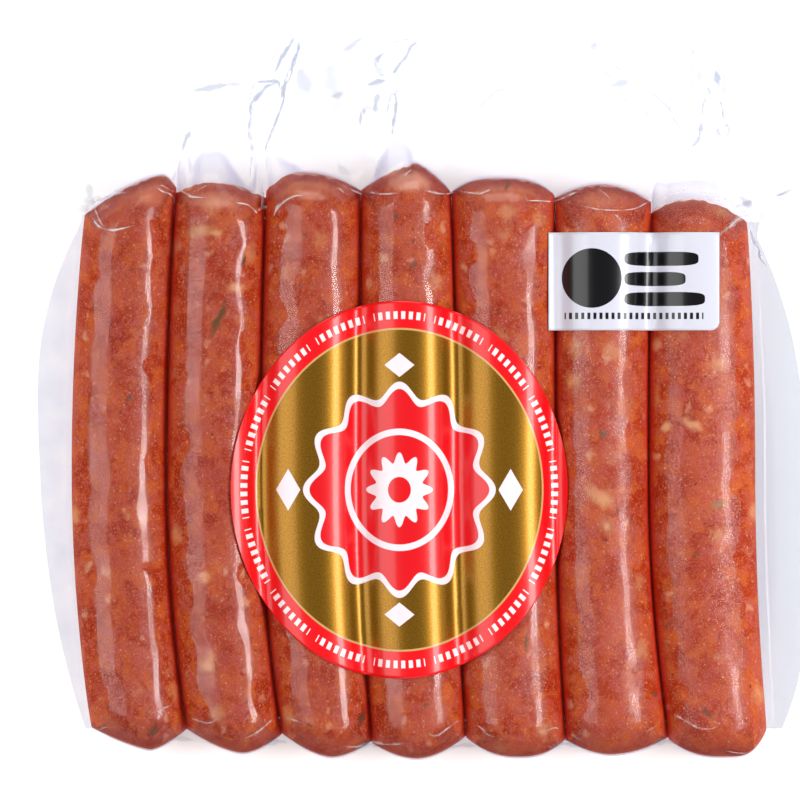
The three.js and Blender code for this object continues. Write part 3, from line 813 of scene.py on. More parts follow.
def sausage_y(sausage, across):
    """y of every row of a sausage at each place across: quarter circles over the domes, else even steps."""
    foot = foot_y(sausage, across) + MEAT_END_INSET
    head = head_y(sausage, across) - MEAT_END_INSET
    ragged = np.abs(waves(across * 12 + 40 * sausage, 0 * across, 4.5, 6, 31 + sausage))
    head = head - HEAD_UNEVENNESS * ragged
    low, middle, high = (np.linspace(0, 1, n + 1)[1:, None] for n in MEAT_ROWS)
    quarter = np.pi / 2
    return np.concatenate([
        foot[None],
        foot + FOOT_DOME * (1 - np.cos(low * quarter)),
        foot + FOOT_DOME + (head - HEAD_DOME - foot - FOOT_DOME) * middle,
        head - HEAD_DOME + HEAD_DOME * np.sin(high * quarter),
    ])


def sausage_share():
    """Share of the full height of every row: a quarter circle over each dome."""
    low, middle, high = (np.linspace(0, 1, n + 1)[1:, None] for n in MEAT_ROWS)
    quarter = np.pi / 2
    return np.concatenate([[[0.0]], np.sin(low * quarter), np.ones_like(middle), np.cos(high * quarter)])


def pucker(sausage, x, y):
    """Depth of the small folds that run from a head tip: a cosine round the tip, fading with the distance."""
    tip_y, apex = HEAD_ENDS[sausage, :2]
    left, right = side_line(sausage, tip_y), side_line(sausage + 1, tip_y)
    tip_x = left + (right - left) * (apex + 1) / 2
    angle = np.arctan2(y - tip_y, x - tip_x)
    distance = np.hypot(x - tip_x, y - tip_y)
    folds = 0.5 + 0.5 * np.cos(PUCKER_FOLDS[sausage] * angle + 2 * np.sin(3 * angle + sausage))
    return PUCKER_DEPTH * folds * np.exp(-distance / PUCKER_LENGTH) * np.minimum(distance / 0.8, 1)


def make_sausage(sausage, material):
    """One sausage: two faces of superellipse section with domed ends, pressed flat underneath. Its attribute
    pressed rises to 1 where it touches its neighbours."""
    across = -np.cos(np.linspace(0, np.pi, MEAT_COLUMNS + 1))
    y = sausage_y(sausage, across)
    share = sausage_share()
    left, right = side_line(sausage, y), side_line(sausage + 1, y)
    middle, half_width = (left + right) / 2, (right - left) / 2
    inside = half_width - MEAT_TO_MEAT
    x = middle + np.clip((half_width + MEAT_PRESSED) * across, -inside, inside)
    tall = HALF_HEIGHTS[sausage] + FILM_GAP - MEAT_UNDER_FILM
    height = tall * superellipse(across) * share
    soft = np.minimum(height / 4, 1)
    relief = soft * lumps(x, y) - np.minimum(height, 1) * pucker(sausage, x, y)
    top = np.stack([x, y, SEAM_Z + height + relief], axis=-1)
    bottom = np.stack([x, y, np.maximum(MEAT_UNDER_FILM, SEAM_Z - height)], axis=-1)
    points, quads, _ = shell(top, bottom)
    piece = build(f"sausage_{sausage + 1}", points, quads)
    neighbour = sausage + np.sign(across)
    touching = (neighbour >= 0) & (neighbour < SAUSAGES)
    pressed = np.broadcast_to(smoothstep(*JUICE_AND_VALLEY_SHADE, np.abs(across)) * touching, y.shape)
    layer = piece.data.attributes.new("pressed", "FLOAT", "POINT")
    layer.data.foreach_set("value", np.concatenate([pressed.ravel(), pressed[1:-1, 1:-1].ravel()]))
    piece.data.materials.append(material)
    return piece


# Label meshes: columns and rows.
ROUND_STEPS = (200, 120)
OBLONG_STEPS = (120, 40)
PRINT_UNIT = 100.0  # millimetres in one unit of a print map


def label_bed(x, y):
    """z of the film's ridges under a cover as loose as a label."""
    q = place_across(x, y)
    sausage = np.clip(np.floor(q), 0, SAUSAGES - 1).astype(int)
    across = np.clip((q - sausage) * 2 - 1, -1, 1)
    to_head = dome_share((head_y(sausage, across) - y) / HEAD_DOME)
    return SEAM_Z + FILM_GAP + HALF_HEIGHTS[sausage] * covered_section(across, LABEL_LEAVES) * to_head


def label_grid(label, across, up, low, high):
    """Points of a label's two faces. Its outline runs from low to high at each place across."""
    cx, cy, half_width, half_height = label
    x = np.broadcast_to(cx + half_width * across, (len(up), len(across)))
    y = cy + half_height * (low + (high - low) * up[:, None])
    bed = label_bed(x, y) + LABEL_GAP
    rim = rim_of(x.shape)
    top = np.stack([x, y, bed + np.where(rim, LABEL_THICKNESS / 2, LABEL_THICKNESS)], axis=-1)
    bottom = np.stack([x, y, bed + np.where(rim, LABEL_THICKNESS / 2, 0)], axis=-1)
    return top, bottom


def rim_steps(count):
    """Steps from 0 to 1 whose first and last are very short, for a crisp rim."""
    inner = np.linspace(0, 1, count - 1)
    short = 0.1 / count
    return np.concatenate([[0], short + (1 - 2 * short) * inner, [1]])


def lay_print(piece, label, wide, tall):
    """Gives a label its print map: the place from its middle, stretched to its true size, in print units.
    The middle is at 0.5, 0.5."""
    cx, cy, half_width, half_height = label
    mesh = piece.data
    places = np.empty(len(mesh.vertices) * 3)
    mesh.vertices.foreach_get("co", places)
    places = places.reshape(-1, 3) / MM
    corners = np.empty(len(mesh.loops), int)
    mesh.loops.foreach_get("vertex_index", corners)
    u = (places[corners, 0] - cx) / half_width * wide
    v = (places[corners, 1] - cy) / half_height * tall
    layer = mesh.uv_layers.new(name="print")
    layer.data.foreach_set("uv", (np.stack([u, v], axis=-1) / PRINT_UNIT + 0.5).ravel())


def make_round_label():
    """A disc drawn over the ridges, its columns evenly spread round the rim."""
    columns, rows = ROUND_STEPS
    across = -np.cos(np.pi * rim_steps(columns))
    rise = np.sqrt(np.maximum(0, 1 - across**2))
    top, bottom = label_grid(ROUND_LABEL, across, rim_steps(rows), -rise, rise)
    points, quads, _ = shell(top, bottom)
    piece = build("round_label_print", points, quads)
    lay_print(piece, ROUND_LABEL, ROUND_LABEL[3], ROUND_LABEL[3])
    piece.data.materials.append(gold_print())
    return piece


def make_oblong_label():
    """An oblong drawn over two ridges, with only its lower right corner rounded."""
    columns, rows = OBLONG_STEPS
    across = rim_steps(columns) * 2 - 1
    into_corner = np.maximum(0, (across - 1) * OBLONG_LABEL[2] + OBLONG_CORNER)
    cut = OBLONG_CORNER - np.sqrt(OBLONG_CORNER**2 - into_corner**2)
    low = -1 + cut / OBLONG_LABEL[3]
    top, bottom = label_grid(OBLONG_LABEL, across, rim_steps(rows), low, np.ones_like(low))
    points, quads, _ = shell(top, bottom)
    piece = build("oblong_label_print", points, quads)
    lay_print(piece, OBLONG_LABEL, OBLONG_LABEL[2], OBLONG_LABEL[3])
    piece.data.materials.append(white_print())
    return piece


def linear(code):
    """Linear colour from an sRGB hex value."""
    parts = np.array([int(code[k:k + 2], 16) for k in (0, 2, 4)]) / 255
    values = np.where(parts <= 0.04045, parts / 12.92, ((parts + 0.055) / 1.055) ** 2.4)
    return (*values.tolist(), 1.0)


def new_material(name):
    """An empty node material, and its tree."""
    material = bpy.data.materials.new(name)
    material.use_nodes = True
    material.node_tree.nodes.clear()
    return material, material.node_tree


def node(tree, kind, inputs=None, **settings):
    """Adds a node. Each input is a value, or a socket to link; settings are the node's own."""
    made = tree.nodes.new("ShaderNode" + kind)
    for name, value in settings.items():
        setattr(made, name, value)
    for key, value in (inputs or {}).items():
        if isinstance(value, bpy.types.NodeSocket):
            tree.links.new(value, made.inputs[key])
        else:
            made.inputs[key].default_value = value
    return made


def painted(tree, below, above, mask):
    """The colour above laid over the colour below where the mask is 1."""
    made = node(tree, "Mix", {0: mask, 6: below, 7: above}, data_type="RGBA")
    return made.outputs[2]


FEET_MIRROR = (-88, -80, 0.25)  # y between which the mirror fades towards the feet, and its share beyond
RUBBED = (15, 60, 0.3)  # x between which the gloss turns grainier to the right, and by how much


def clear_film(name, level, steep_painted_shade, start, rim_gloss):
    """Nylon and polyethylene laminate, blown and smooth: clear, with a painted shade cast where it is steep,
    and a thin gloss that is sharp in some places and broken up by fine grain in others. The mirror fades at
    the feet, and the gloss is grainier to the right."""
    material, tree = new_material(name)
    place = node(tree, "TexCoord").outputs["Object"]
    facing = node(tree, "LayerWeight", {"Blend": 0.5}).outputs["Facing"]
    glancing = node(tree, "Math", {0: facing, 1: 5.0}, operation="POWER").outputs[0]
    mirror = node(tree, "Math", {0: glancing, 1: rim_gloss, 2: 0.046}, operation="MULTIPLY_ADD").outputs[0]
    apart = node(tree, "SeparateXYZ", {0: place})
    low, high, least = FEET_MIRROR
    feet = node(tree, "MapRange", {
        0: apart.outputs[1], 1: low * MM, 2: high * MM, 3: least, 4: 1.0}).outputs[0]
    mirror = node(tree, "Math", {0: mirror, 1: feet}, operation="MULTIPLY").outputs[0]
    # Painted shade: the cast deepens where the film is steep, so that what lies under it looks darker there.
    steep_shade_mask = node(tree, "MapRange", {0: facing, 1: start, 2: start + 0.5, 3: 0.0, 4: 1.0}).outputs[0]
    cast = painted(tree, linear(level), linear(steep_painted_shade), steep_shade_mask)
    grit = node(tree, "TexNoise", {
        "Vector": place, "Scale": 1 / (0.4 * MM), "Detail": 1.0, "Roughness": 0.7}).outputs["Fac"]
    relief = node(tree, "Bump", {"Height": grit, "Strength": 0.9, "Distance": 0.22 * MM}).outputs[0]
    crinkle = node(tree, "TexNoise", {"Vector": place, "Scale": 1 / (1.3 * MM), "Detail": 1.0}).outputs["Fac"]
    creased = node(tree, "Bump", {"Height": crinkle, "Strength": 0.4, "Distance": 0.04 * MM}).outputs[0]
    patch = node(tree, "TexNoise", {"Vector": place, "Scale": 1 / (13 * MM), "Detail": 1.0}).outputs["Fac"]
    dulled = node(tree, "MapRange", {0: patch, 1: 0.42, 2: 0.6, 3: 0.42, 4: 0.75}).outputs[0]
    low, high, most = RUBBED
    rubbed = node(tree, "MapRange", {
        0: apart.outputs[0], 1: low * MM, 2: high * MM, 3: 0.0, 4: most}).outputs[0]
    dulled = node(tree, "Math", {0: dulled, 1: rubbed}, operation="ADD", use_clamp=True).outputs[0]
    through_film = node(tree, "BsdfTransparent", {"Color": cast}).outputs[0]
    frost = node(tree, "MapRange", {0: grit, 1: 0.4, 2: 0.62, 3: 0.2, 4: 1.3}).outputs[0]
    sharp = node(tree, "BsdfGlossy", {"Color": (1, 1, 1, 1), "Roughness": 0.14, "Normal": creased}).outputs[0]
    grainy = node(tree, "BsdfGlossy", {"Color": frost, "Roughness": 0.28, "Normal": relief}).outputs[0]
    gloss = node(tree, "MixShader", {0: dulled, 1: sharp, 2: grainy}).outputs[0]
    film = node(tree, "MixShader", {0: mirror, 1: through_film, 2: gloss}).outputs[0]
    node(tree, "OutputMaterial", {"Surface": film})
    return material


def pinched_film():
    """The laminate folded on itself, with a pale line painted along it as a broken highlight."""
    material, tree = new_material("pinched_film_painted_highlight")
    place = node(tree, "TexCoord").outputs["Object"]
    shade = node(tree, "Attribute", attribute_name="shade").outputs["Fac"]
    patch = node(tree, "TexNoise", {"Vector": place, "Scale": 1 / (2.2 * MM), "Detail": 2.0}).outputs["Fac"]
    patch = node(tree, "MapRange", {0: patch, 1: 0.35, 2: 0.62, 3: 0.15, 4: 0.7}).outputs[0]
    # Painted highlight: the pale line along each pinched fold, strongest on its crest.
    painted_highlight = node(tree, "Math", {0: shade, 1: patch}, operation="MULTIPLY").outputs[0]
    clear = node(tree, "BsdfTransparent", {"Color": linear("fdfdfe")}).outputs[0]
    pale = node(tree, "BsdfPrincipled", {
        "Base Color": linear("f1e4e4"), "Roughness": 0.18, "IOR": 1.5}).outputs[0]
    film = node(tree, "MixShader", {0: painted_highlight, 1: clear, 2: pale}).outputs[0]
    node(tree, "OutputMaterial", {"Surface": film})
    return material


def doubled_film():
    """The laminate lying double over air: clear, with a cool grey painted shade that fades to a fold's sides.
    """
    material, tree = new_material("doubled_film_painted_shade")
    shade = node(tree, "Attribute", attribute_name="shade").outputs["Fac"]
    # Painted shade: the grey cast along each fold of the flap.
    cast = painted(tree, linear("ffffff"), linear("c6c8d6"), shade)
    clear = node(tree, "BsdfTransparent", {"Color": cast}).outputs[0]
    gloss = node(tree, "BsdfGlossy", {"Color": (1, 1, 1, 1), "Roughness": 0.12}).outputs[0]
    film = node(tree, "MixShader", {0: 0.05, 1: clear, 2: gloss}).outputs[0]
    node(tree, "OutputMaterial", {"Surface": film})
    return material


SEAM_PITCH = 1.1  # of the embossed squares in the side seams


def seam_film():
    """The same laminate welded and embossed in small squares: dulled, with a cool pale cast over white."""
    material, tree = new_material("embossed_laminate_film")
    place = node(tree, "TexCoord").outputs["Object"]
    facing = node(tree, "LayerWeight", {"Blend": 0.5}).outputs["Facing"]
    glancing = node(tree, "Math", {0: facing, 1: 5.0}, operation="POWER").outputs[0]
    mirror = node(tree, "Math", {0: glancing, 1: 0.6, 2: 0.02}, operation="MULTIPLY_ADD").outputs[0]
    turn = 2 * np.pi / (SEAM_PITCH * MM)
    apart = node(tree, "SeparateXYZ", {0: place})
    sides = []
    for axis in range(2):
        turned = node(tree, "Math", {0: apart.outputs[axis], 1: turn}, operation="MULTIPLY").outputs[0]
        sides.append(node(tree, "Math", {0: turned}, operation="SINE").outputs[0])
    squares = node(tree, "Math", {0: sides[0], 1: sides[1]}, operation="MULTIPLY").outputs[0]
    cloud = node(tree, "TexNoise", {"Vector": place, "Scale": 1 / (9 * MM), "Detail": 3.0}).outputs["Fac"]
    shade = node(tree, "Math", {0: squares, 1: 0.04, 2: cloud}, operation="MULTIPLY_ADD").outputs[0]
    spread = node(tree, "MapRange", {0: shade, 1: 0.3, 2: 0.75, 3: 0.0, 4: 1.0}).outputs[0]
    cast = painted(tree, linear("edf0f5"), linear("f4f6fa"), spread)
    right = node(tree, "Math", {0: apart.outputs[0], 1: 0.0}, operation="GREATER_THAN").outputs[0]
    cast = painted(tree, cast, linear("e2e5ea"), right)
    relief = node(tree, "Bump", {"Height": squares, "Strength": 0.3, "Distance": 0.03 * MM}).outputs[0]
    through_film = node(tree, "BsdfTransparent", {"Color": cast}).outputs[0]
    gloss = node(tree, "BsdfGlossy", {"Color": (1, 1, 1, 1), "Roughness": 0.22, "Normal": relief}).outputs[0]
    film = node(tree, "MixShader", {0: mirror, 1: through_film, 2: gloss}).outputs[0]
    node(tree, "OutputMaterial", {"Surface": film})
    return material


def cells(tree, place, size, radius, share, strength):
    """Soft spots of about a radius in a share of the cells of a size, both in millimetres: a mask that is
    the strength in the middle of each."""
    found = node(tree, "TexVoronoi", {"Vector": place, "Scale": 1 / (size * MM), "Randomness": 1.0})
    middle = radius / size
    spot = node(tree, "MapRange", {
        0: found.outputs["Distance"], 1: middle * 0.2, 2: middle * 1.6, 3: strength, 4: 0.0},
        interpolation_type="SMOOTHSTEP").outputs[0]
    lot = node(tree, "SeparateColor", {0: found.outputs["Color"]}).outputs[0]
    drawn = node(tree, "Math", {0: lot, 1: share}, operation="LESS_THAN").outputs[0]
    return node(tree, "Math", {0: spot, 1: drawn}, operation="MULTIPLY").outputs[0]


# Pieces in the meat that show one by one, the first six of them painted light on the head domes: colour,
# strength, place, half length and half width, and the turn in degrees.
MARKS = (
    # The first six: painted light, pale pink patches over the head domes, which face the light beyond the
    # flap.
    ("e0a488", 0.65, -3.0, 53.2, 6.4, 3.2, 0),
    ("d4805e", 0.5, -67.5, 50.0, 6.0, 4.0, 20),
    ("d8957a", 0.5, -51.5, 48.4, 8.0, 2.6, 0),
    ("d08560", 0.45, -29.0, 51.0, 8.0, 3.6, 0),
    ("cf8360", 0.4, 20.5, 50.6, 8.0, 2.8, 0),
    ("cf8360", 0.4, 44.5, 49.0, 8.0, 2.8, 0),
    ("4b3d12", 0.85, -50.8, 18.6, 5.2, 1.1, 66),
    ("31302c", 0.9, -45.0, 33.2, 1.2, 0.6, 60),
    ("c98f58", 0.6, -55.0, 40.5, 4.4, 1.6, 5),
    ("dca678", 0.6, -46.5, 26.4, 2.2, 1.6, 0),
    ("dca678", 0.6, -51.4, 40.0, 1.6, 1.2, 0),
    ("dca678", 0.55, -54.4, -45.4, 1.8, 1.6, 0),
    ("dca678", 0.55, -53.8, -67.6, 2.0, 1.4, 0),
    ("4a4638", 0.75, -72.8, -1.0, 1.2, 0.7, 70),
    ("4a4638", 0.75, -67.2, -83.6, 1.9, 1.0, 50),
    ("3b352a", 0.75, -15.2, -80.4, 3.2, 0.8, 75),
    ("4a4638", 0.6, -7.0, 44.2, 1.0, 0.7, 0),
    ("4a4638", 0.6, -2.6, 32.2, 1.2, 0.9, 40),
    ("4a4638", 0.7, 21.2, 52.0, 1.4, 0.7, 60),
    ("42401e", 0.75, 25.6, -61.8, 2.2, 0.6, 85),
    ("dca678", 0.6, 43.6, -25.4, 4.4, 2.0, -35),
    ("4a5038", 0.7, 44.9, -10.0, 1.3, 0.8, -60),
    ("dca678", 0.55, 57.9, 12.2, 1.6, 1.9, 0),
    ("dca678", 0.65, 60.4, -8.2, 1.8, 1.2, 60),
    ("dca678", 0.65, 66.8, -7.6, 3.2, 1.4, -30),
    ("dca678", 0.5, 58.2, -15.6, 1.3, 1.1, 0),
    ("4a4638", 0.7, 70.4, -79.2, 2.2, 0.7, -45),
    ("3c3f30", 0.6, 57.6, -74.6, 1.2, 0.9, 0),
    ("7d7a50", 0.55, 73.4, -27.6, 2.4, 1.1, 20),
)
MARK_DEPTH = 5.0  # half height of each

# How far the outlines of the patches and of those pieces stray, in millimetres.
BLUR_OF_PATCHES = 3.0
BLUR_OF_MARKS = 2.0


def mark(tree, place, strength, x, y, length, width, turn):
    """A soft-edged ellipsoid set in the surface of the row, from its strength, place, half sizes and turn."""
    where = np.array([x]), np.array([y])
    q = place_across(*where)
    height = float(SEAM_Z + film_cover(q, where[1])[0])
    half = (length * MM, width * MM, MARK_DEPTH * MM)
    local = node(tree, "Mapping", {
        "Vector": place, "Location": (x * MM, y * MM, height * MM), "Rotation": (0, 0, np.radians(turn)),
        "Scale": half}, vector_type="TEXTURE").outputs[0]
    distance = node(tree, "VectorMath", {0: local}, operation="LENGTH").outputs["Value"]
    return node(tree, "MapRange", {
        0: distance, 1: 0.3, 2: 1.3, 3: strength, 4: 0.0}, interpolation_type="SMOOTHSTEP").outputs[0]


def meat_in_casing():
    """Coarsely ground pork in a thin smoked casing: orange-red and pink patches, pale fat, dark and red
    spice, and red juice with a painted red shade where two sausages touch."""
    material, tree = new_material("ground_meat_in_casing")
    place = node(tree, "TexCoord").outputs["Object"]
    ground = node(tree, "Mapping", {"Vector": place, "Scale": (1.0, 0.85, 0.6)}).outputs[0]
    blur = node(tree, "TexNoise", {"Vector": ground, "Scale": 1 / (2.2 * MM), "Detail": 1.0}).outputs["Color"]
    shift = node(tree, "VectorMath", {0: blur, 1: (0.5, 0.5, 0.5)}, operation="SUBTRACT").outputs[0]
    uneven = node(tree, "VectorMath", {
        0: shift, 1: (BLUR_OF_PATCHES * MM,) * 3, 2: ground}, operation="MULTIPLY_ADD").outputs[0]
    colour = linear("a03009")
    # where each is read, its colour and size, the noise between which it rises, and its strength
    patches = (
        (uneven, "ae4a2e", 11.0, 0.45, 0.57, 0.9),
        (uneven, "942404", 8.0, 0.48, 0.62, 0.85),
        (uneven, "ba5420", 4.5, 0.49, 0.63, 0.8),
        (uneven, "aa463a", 3.2, 0.50, 0.62, 0.65),
        (uneven, "8a1c06", 2.2, 0.54, 0.70, 0.32),
        (ground, "ba6040", 1.4, 0.52, 0.70, 0.4),
        (ground, "d08a6c", 0.35, 0.54, 0.70, 0.4),
    )
    for spread, shade, size, low, high, strength in patches:
        cloud = node(tree, "TexNoise", {
            "Vector": spread, "Scale": 1 / (size * MM), "Detail": 2.0, "Roughness": 0.5}).outputs["Fac"]
        mask = node(tree, "MapRange", {0: cloud, 1: low, 2: high, 3: 0.0, 4: strength}).outputs[0]
        colour = painted(tree, colour, linear(shade), mask)
    # where each is read, its colour, the size of its cells, its radius, its share of them, and its strength
    spots = (
        (uneven, "d8a070", 9.0, 2.0, 0.35, 0.42),
        (uneven, "dca888", 5.0, 0.9, 0.35, 0.45),
        (ground, "e0b498", 1.2, 0.2, 0.4, 0.4),
        (ground, "b81804", 2.4, 0.32, 0.35, 0.75),
        (uneven, "5a4526", 6.0, 0.6, 0.25, 0.7),
        (uneven, "2c211c", 2.8, 0.28, 0.3, 0.75),
    )
    for spread, shade, *form in spots:
        colour = painted(tree, colour, linear(shade), cells(tree, spread, *form))
    ragged = node(tree, "VectorMath", {
        0: shift, 1: (BLUR_OF_MARKS * MM,) * 3, 2: place}, operation="MULTIPLY_ADD").outputs[0]
    for shade, *form in MARKS:
        colour = painted(tree, colour, linear(shade), mark(tree, ragged, *form))
    # Painted red shade, with juice, where two sausages touch, so that the valleys between them read maroon.
    juice_and_valley_shade = node(tree, "Attribute", attribute_name="pressed").outputs["Fac"]
    juice_and_valley_shade = node(tree, "Math", {0: juice_and_valley_shade, 1: 0.85}, operation="MULTIPLY").outputs[0]
    colour = painted(tree, colour, linear("c02410"), juice_and_valley_shade)
    grit = node(tree, "TexNoise", {"Vector": ground, "Scale": 1 / (0.7 * MM), "Detail": 2.0}).outputs["Fac"]
    relief = node(tree, "Bump", {"Height": grit, "Strength": 0.3, "Distance": 0.12 * MM}).outputs[0]
    shader = node(tree, "BsdfPrincipled", {
        "Base Color": colour, "Roughness": 0.5, "Specular IOR Level": 0.06, "Normal": relief}).outputs[0]
    node(tree, "OutputMaterial", {"Surface": shader})
    return material


def print_place(tree):
    """Place on a label's print in millimetres from its middle, with z at 0."""
    uv = node(tree, "UVMap", uv_map="print").outputs[0]
    middle = node(tree, "VectorMath", {0: uv, 1: (0.5, 0.5, 0.0)}, operation="SUBTRACT").outputs[0]
    return node(tree, "VectorMath", {
        0: middle, 1: (PRINT_UNIT, PRINT_UNIT, 0.0)}, operation="MULTIPLY").outputs[0]


def below(tree, value, limit):
    """1 where the value is below the limit, with an edge a tenth of a millimetre wide."""
    return node(tree, "MapRange", {0: value, 1: limit - 0.05, 2: limit + 0.05, 3: 1.0, 4: 0.0}).outputs[0]


def off_centre(tree, apart, axis, centre, half=1.0):
    """Distance from a centre along one axis of the print, in half sizes."""
    off = node(tree, "Math", {0: apart.outputs[axis], 1: centre}, operation="SUBTRACT").outputs[0]
    off = node(tree, "Math", {0: off}, operation="ABSOLUTE").outputs[0]
    return node(tree, "Math", {0: off, 1: half}, operation="DIVIDE").outputs[0]


def beat(tree, value, turn, share):
    """1 in an even row of dashes: where |sin(value turn)| is above a share."""
    turned = node(tree, "Math", {0: value, 1: turn}, operation="MULTIPLY").outputs[0]
    wave = node(tree, "Math", {0: turned}, operation="SINE").outputs[0]
    wave = node(tree, "Math", {0: wave}, operation="ABSOLUTE").outputs[0]
    return node(tree, "Math", {0: wave, 1: share}, operation="GREATER_THAN").outputs[0]


def glossy_print(tree, colour, roughness):
    """Ink on white label stock under a clear varnish."""
    return node(tree, "BsdfPrincipled", {
        "Base Color": colour, "Roughness": roughness, "Specular IOR Level": 0.3, "Coat Weight": 0.3,
        "Coat Roughness": 0.12}).outputs[0]


# The round label's red ring: the radius of the gold inside it, a pale line between them, and white dashes.
RING_INNER = 39.7
RING_LINE = 0.5
DASH_MIDDLE, DASH_HALF = 43.4, 0.95  # of the ring of dashes
DASHES = 128
DASH_GROUPS = 16


def gold_print():
    """Offset-printed label: a red ring with small white dashes, and a dull gold disc with a red rosette."""
    material, tree = new_material("gold_and_red_offset_print")
    place = print_place(tree)
    apart = node(tree, "SeparateXYZ", {0: place})
    radius = node(tree, "VectorMath", {0: place}, operation="LENGTH").outputs["Value"]
    angle = node(tree, "Math", {0: apart.outputs[1], 1: apart.outputs[0]}, operation="ARCTAN2").outputs[0]
    grain = node(tree, "TexNoise", {"Vector": place, "Scale": 1 / 0.4, "Detail": 2.0}).outputs["Fac"]
    speck = node(tree, "MapRange", {0: grain, 1: 0.3, 2: 0.72, 3: 0.0, 4: 1.0}).outputs[0]
    bronze = painted(tree, linear("7a5002"), linear("9c7016"), speck)
    colour, inked = rosette(tree, bronze, apart, radius, angle)
    colour = painted(tree, linear("c9a063"), colour, below(tree, radius, RING_INNER))
    colour = painted(tree, linear("e60612"), colour, below(tree, radius, RING_INNER + RING_LINE))
    off_middle = node(tree, "Math", {0: radius, 1: DASH_MIDDLE}, operation="SUBTRACT").outputs[0]
    off_middle = node(tree, "Math", {0: off_middle}, operation="ABSOLUTE").outputs[0]
    dash = beat(tree, angle, DASHES / 2, 0.66)
    grouped = node(tree, "Math", {0: angle, 1: float(DASH_GROUPS)}, operation="MULTIPLY").outputs[0]
    grouped = node(tree, "Math", {0: grouped}, operation="COSINE").outputs[0]
    grouped = node(tree, "Math", {0: grouped, 1: -0.88}, operation="GREATER_THAN").outputs[0]
    dash = node(tree, "Math", {0: dash, 1: grouped}, operation="MULTIPLY").outputs[0]
    near = below(tree, off_middle, DASH_HALF)
    dash = node(tree, "Math", {0: dash, 1: near}, operation="MULTIPLY").outputs[0]
    colour = painted(tree, colour, linear("f4e4e6"), dash)
    bare = node(tree, "Math", {0: below(tree, radius, RING_INNER), 1: inked}, operation="SUBTRACT").outputs[0]
    ink = glossy_print(tree, colour, 0.34)
    metal = node(tree, "BsdfPrincipled", {
        "Base Color": bronze, "Metallic": 0.75, "Roughness": 0.38, "Coat Weight": 0.15,
        "Coat Roughness": 0.12}).outputs[0]
    shader = node(tree, "MixShader", {0: bare, 1: ink, 2: metal}).outputs[0]
    node(tree, "OutputMaterial", {"Surface": shader})
    return material


# The rosette's rings, from the outside in: colour, radius and the depth of the petals as a share of it. Then
# the lozenges round it: middle and half sizes.
ROSETTE_PETALS = 12
ROSETTE = (("ecdfe4", 25.0, 0.075), ("dc0a16", 23.2, 0.08), ("ecdfe4", 15.2, 0.0), ("dc0a16", 13.6, 0.0),
           ("ecdfe4", 8.0, 0.16), ("dc0a16", 3.2, 0.0))
LOZENGES = ((31.0, 0.0, 3.4, 5.2), (-31.0, 0.0, 3.4, 5.2), (0.0, 31.0, 4.2, 3.0), (0.0, -31.0, 4.2, 3.0))


def rosette(tree, colour, apart, radius, angle):
    """A petalled rosette in rings, r below R (1 + a cos n angle), with a white lozenge on each of four sides.
    Gives the colour and where it is inked."""
    turned = node(tree, "Math", {0: angle, 1: float(ROSETTE_PETALS)}, operation="MULTIPLY").outputs[0]
    petal = node(tree, "Math", {0: turned}, operation="COSINE").outputs[0]
    masks = []
    for shade, size, depth in ROSETTE:
        reach = {0: petal, 1: -depth * size, 2: radius}
        edge = node(tree, "Math", reach, operation="MULTIPLY_ADD").outputs[0]
        masks.append(below(tree, edge, size))
        colour = painted(tree, colour, linear(shade), masks[-1])
    inked = masks[0]
    for cx, cy, half_width, half_height in LOZENGES:
        aside, aloft = off_centre(tree, apart, 0, cx, half_width), off_centre(tree, apart, 1, cy, half_height)
        total = node(tree, "Math", {0: aside, 1: aloft}, operation="ADD").outputs[0]
        inside = node(tree, "Math", {0: total, 1: 1.0}, operation="LESS_THAN").outputs[0]
        colour = painted(tree, colour, linear("ecdfe4"), inside)
        inked = node(tree, "Math", {0: inked, 1: inside}, operation="MAXIMUM").outputs[0]
    return colour, inked


# Black shapes of the oblong label: middle, half sizes, and a power: 2 for a disc and 4 for a rounded bar.
PLATES = (
    (-10.5, 0.8, 7.4, 7.4, 2.0),
    (6.8, 5.6, 9.2, 1.75, 4.0),
    (5.2, 0.6, 7.6, 1.75, 4.0),
    (7.6, -4.4, 10.0, 1.75, 4.0),
)
TICK_PITCH = 1.5
TICK_ROW = ((0, 0.0, 17.2), (1, -8.6, 0.8))  # axis, middle and half size each way


def white_print():
    """White coated label stock printed in one black: a disc, three rounded bars and a row of ticks."""
    material, tree = new_material("black_on_white_offset_print")
    place = print_place(tree)
    apart = node(tree, "SeparateXYZ", {0: place})
    colour = linear("cacad6")
    for cx, cy, half_width, half_height, power in PLATES:
        terms = []
        for axis, centre, half in ((0, cx, half_width), (1, cy, half_height)):
            off = off_centre(tree, apart, axis, centre, half)
            terms.append(node(tree, "Math", {0: off, 1: power}, operation="POWER").outputs[0])
        total = node(tree, "Math", {0: terms[0], 1: terms[1]}, operation="ADD").outputs[0]
        inside = node(tree, "Math", {0: total, 1: 1.0}, operation="LESS_THAN").outputs[0]
        colour = painted(tree, colour, linear("040308"), inside)
    tick = beat(tree, apart.outputs[0], np.pi / TICK_PITCH, 0.7)
    for axis, centre, half in TICK_ROW:
        near = below(tree, off_centre(tree, apart, axis, centre), half)
        tick = node(tree, "Math", {0: tick, 1: near}, operation="MULTIPLY").outputs[0]
    colour = painted(tree, colour, linear("040308"), tick)
    shader = glossy_print(tree, colour, 0.3)
    node(tree, "OutputMaterial", {"Surface": shader})
    return material


# The stage: a white floor, a large soft light on the left, a narrow one on the right, one beyond the flap and
# a weak one beyond the feet.
VIEW_MIDDLE = (-5.75, -1.5, 12.0)
VIEW_WIDTH = 200.0
CAMERA_DISTANCE = 2000.0
SENSOR = 36.0
# Name, place, length and span, and power.
LIGHTS = (
    ("soft_left", (-670, 0, 589), (560, 780), 4.7),
    ("strip_right", (378, -18, 362), (300, 155), 2.3),
    ("soft_top", (0, 900, 500), (900, 500), 4.1),
    ("soft_foot", (0, -760, 420), (800, 400), 1.2),
)
WORLD_LIGHT = 0.22
FLOOR_GLOW = 0.44


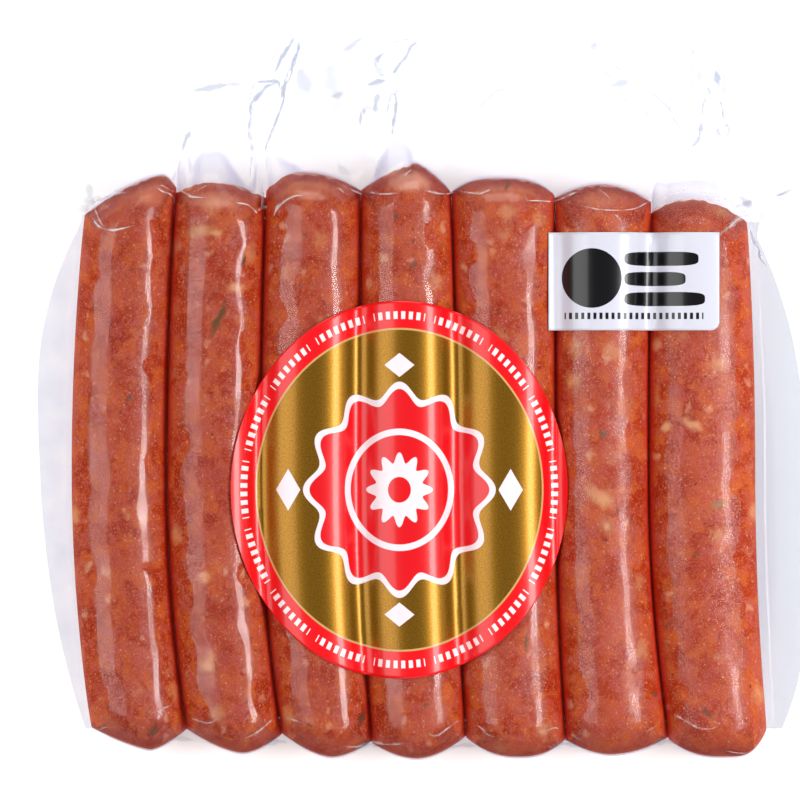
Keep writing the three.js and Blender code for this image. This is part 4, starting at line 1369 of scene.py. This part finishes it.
def make_stage():
    """Floor, lights, world and a camera that looks straight down, as the photograph does."""
    floor = build("floor", np.array([(-1500, -1500, -0.1), (1500, -1500, -0.1), (1500, 1500, -0.1),
                                     (-1500, 1500, -0.1)], float), np.array([(0, 1, 2, 3)]))
    material, tree = new_material("matt_white_board")
    shader = node(tree, "BsdfPrincipled", {
        "Base Color": (0.86, 0.86, 0.86, 1), "Roughness": 0.9, "Emission Color": (1, 1, 1, 1),
        "Emission Strength": FLOOR_GLOW}).outputs[0]
    node(tree, "OutputMaterial", {"Surface": shader})
    floor.data.materials.append(material)
    for name, place, size, power in LIGHTS:
        lamp = bpy.data.lights.new(name, "AREA")
        lamp.shape = "RECTANGLE"
        lamp.size, lamp.size_y = size[0] * MM, size[1] * MM
        lamp.energy = power
        light = bpy.data.objects.new(name, lamp)
        light.location = Vector(place) * MM
        light.rotation_euler = (Vector(VIEW_MIDDLE) * MM - light.location).to_track_quat("-Z", "Y").to_euler()
        bpy.context.scene.collection.objects.link(light)
    world = bpy.data.worlds.new("studio")
    world.use_nodes = True
    world.node_tree.nodes["Background"].inputs["Color"].default_value = (1, 1, 1, 1)
    world.node_tree.nodes["Background"].inputs["Strength"].default_value = WORLD_LIGHT
    bpy.context.scene.world = world
    lens = bpy.data.cameras.new("camera")
    lens.sensor_width = SENSOR
    lens.lens = SENSOR * CAMERA_DISTANCE / VIEW_WIDTH
    lens.clip_end = 10
    camera = bpy.data.objects.new("camera", lens)
    camera.location = Vector((VIEW_MIDDLE[0], VIEW_MIDDLE[1], VIEW_MIDDLE[2] + CAMERA_DISTANCE)) * MM
    bpy.context.scene.collection.objects.link(camera)
    bpy.context.scene.camera = camera
    bpy.context.scene.view_settings.view_transform = "Standard"


def make_pack():
    """All the pieces of the pack, each tied to the frame."""
    film = make_film()
    meat = meat_in_casing()
    row = [make_sausage(sausage, meat) for sausage in range(SAUSAGES)]
    pale_folds = make_folds("film_folds", PINCHED_HEIGHT, PALE_FOLDS, pinched_film())
    tinted_folds = make_folds("flap_folds", DOUBLED_HEIGHT, TINTED_FOLDS, doubled_film())
    for piece in [film, pale_folds, tinted_folds, *row]:
        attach(piece, "root")
        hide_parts("vacuum_bag")
    for piece, replaced, slot in ((make_round_label(), "round_label", "gold_label"),
                                  (make_oblong_label(), "oblong_label", "white_label")):
        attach(piece, "root")
        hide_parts(replaced)


make_stage()
make_pack()
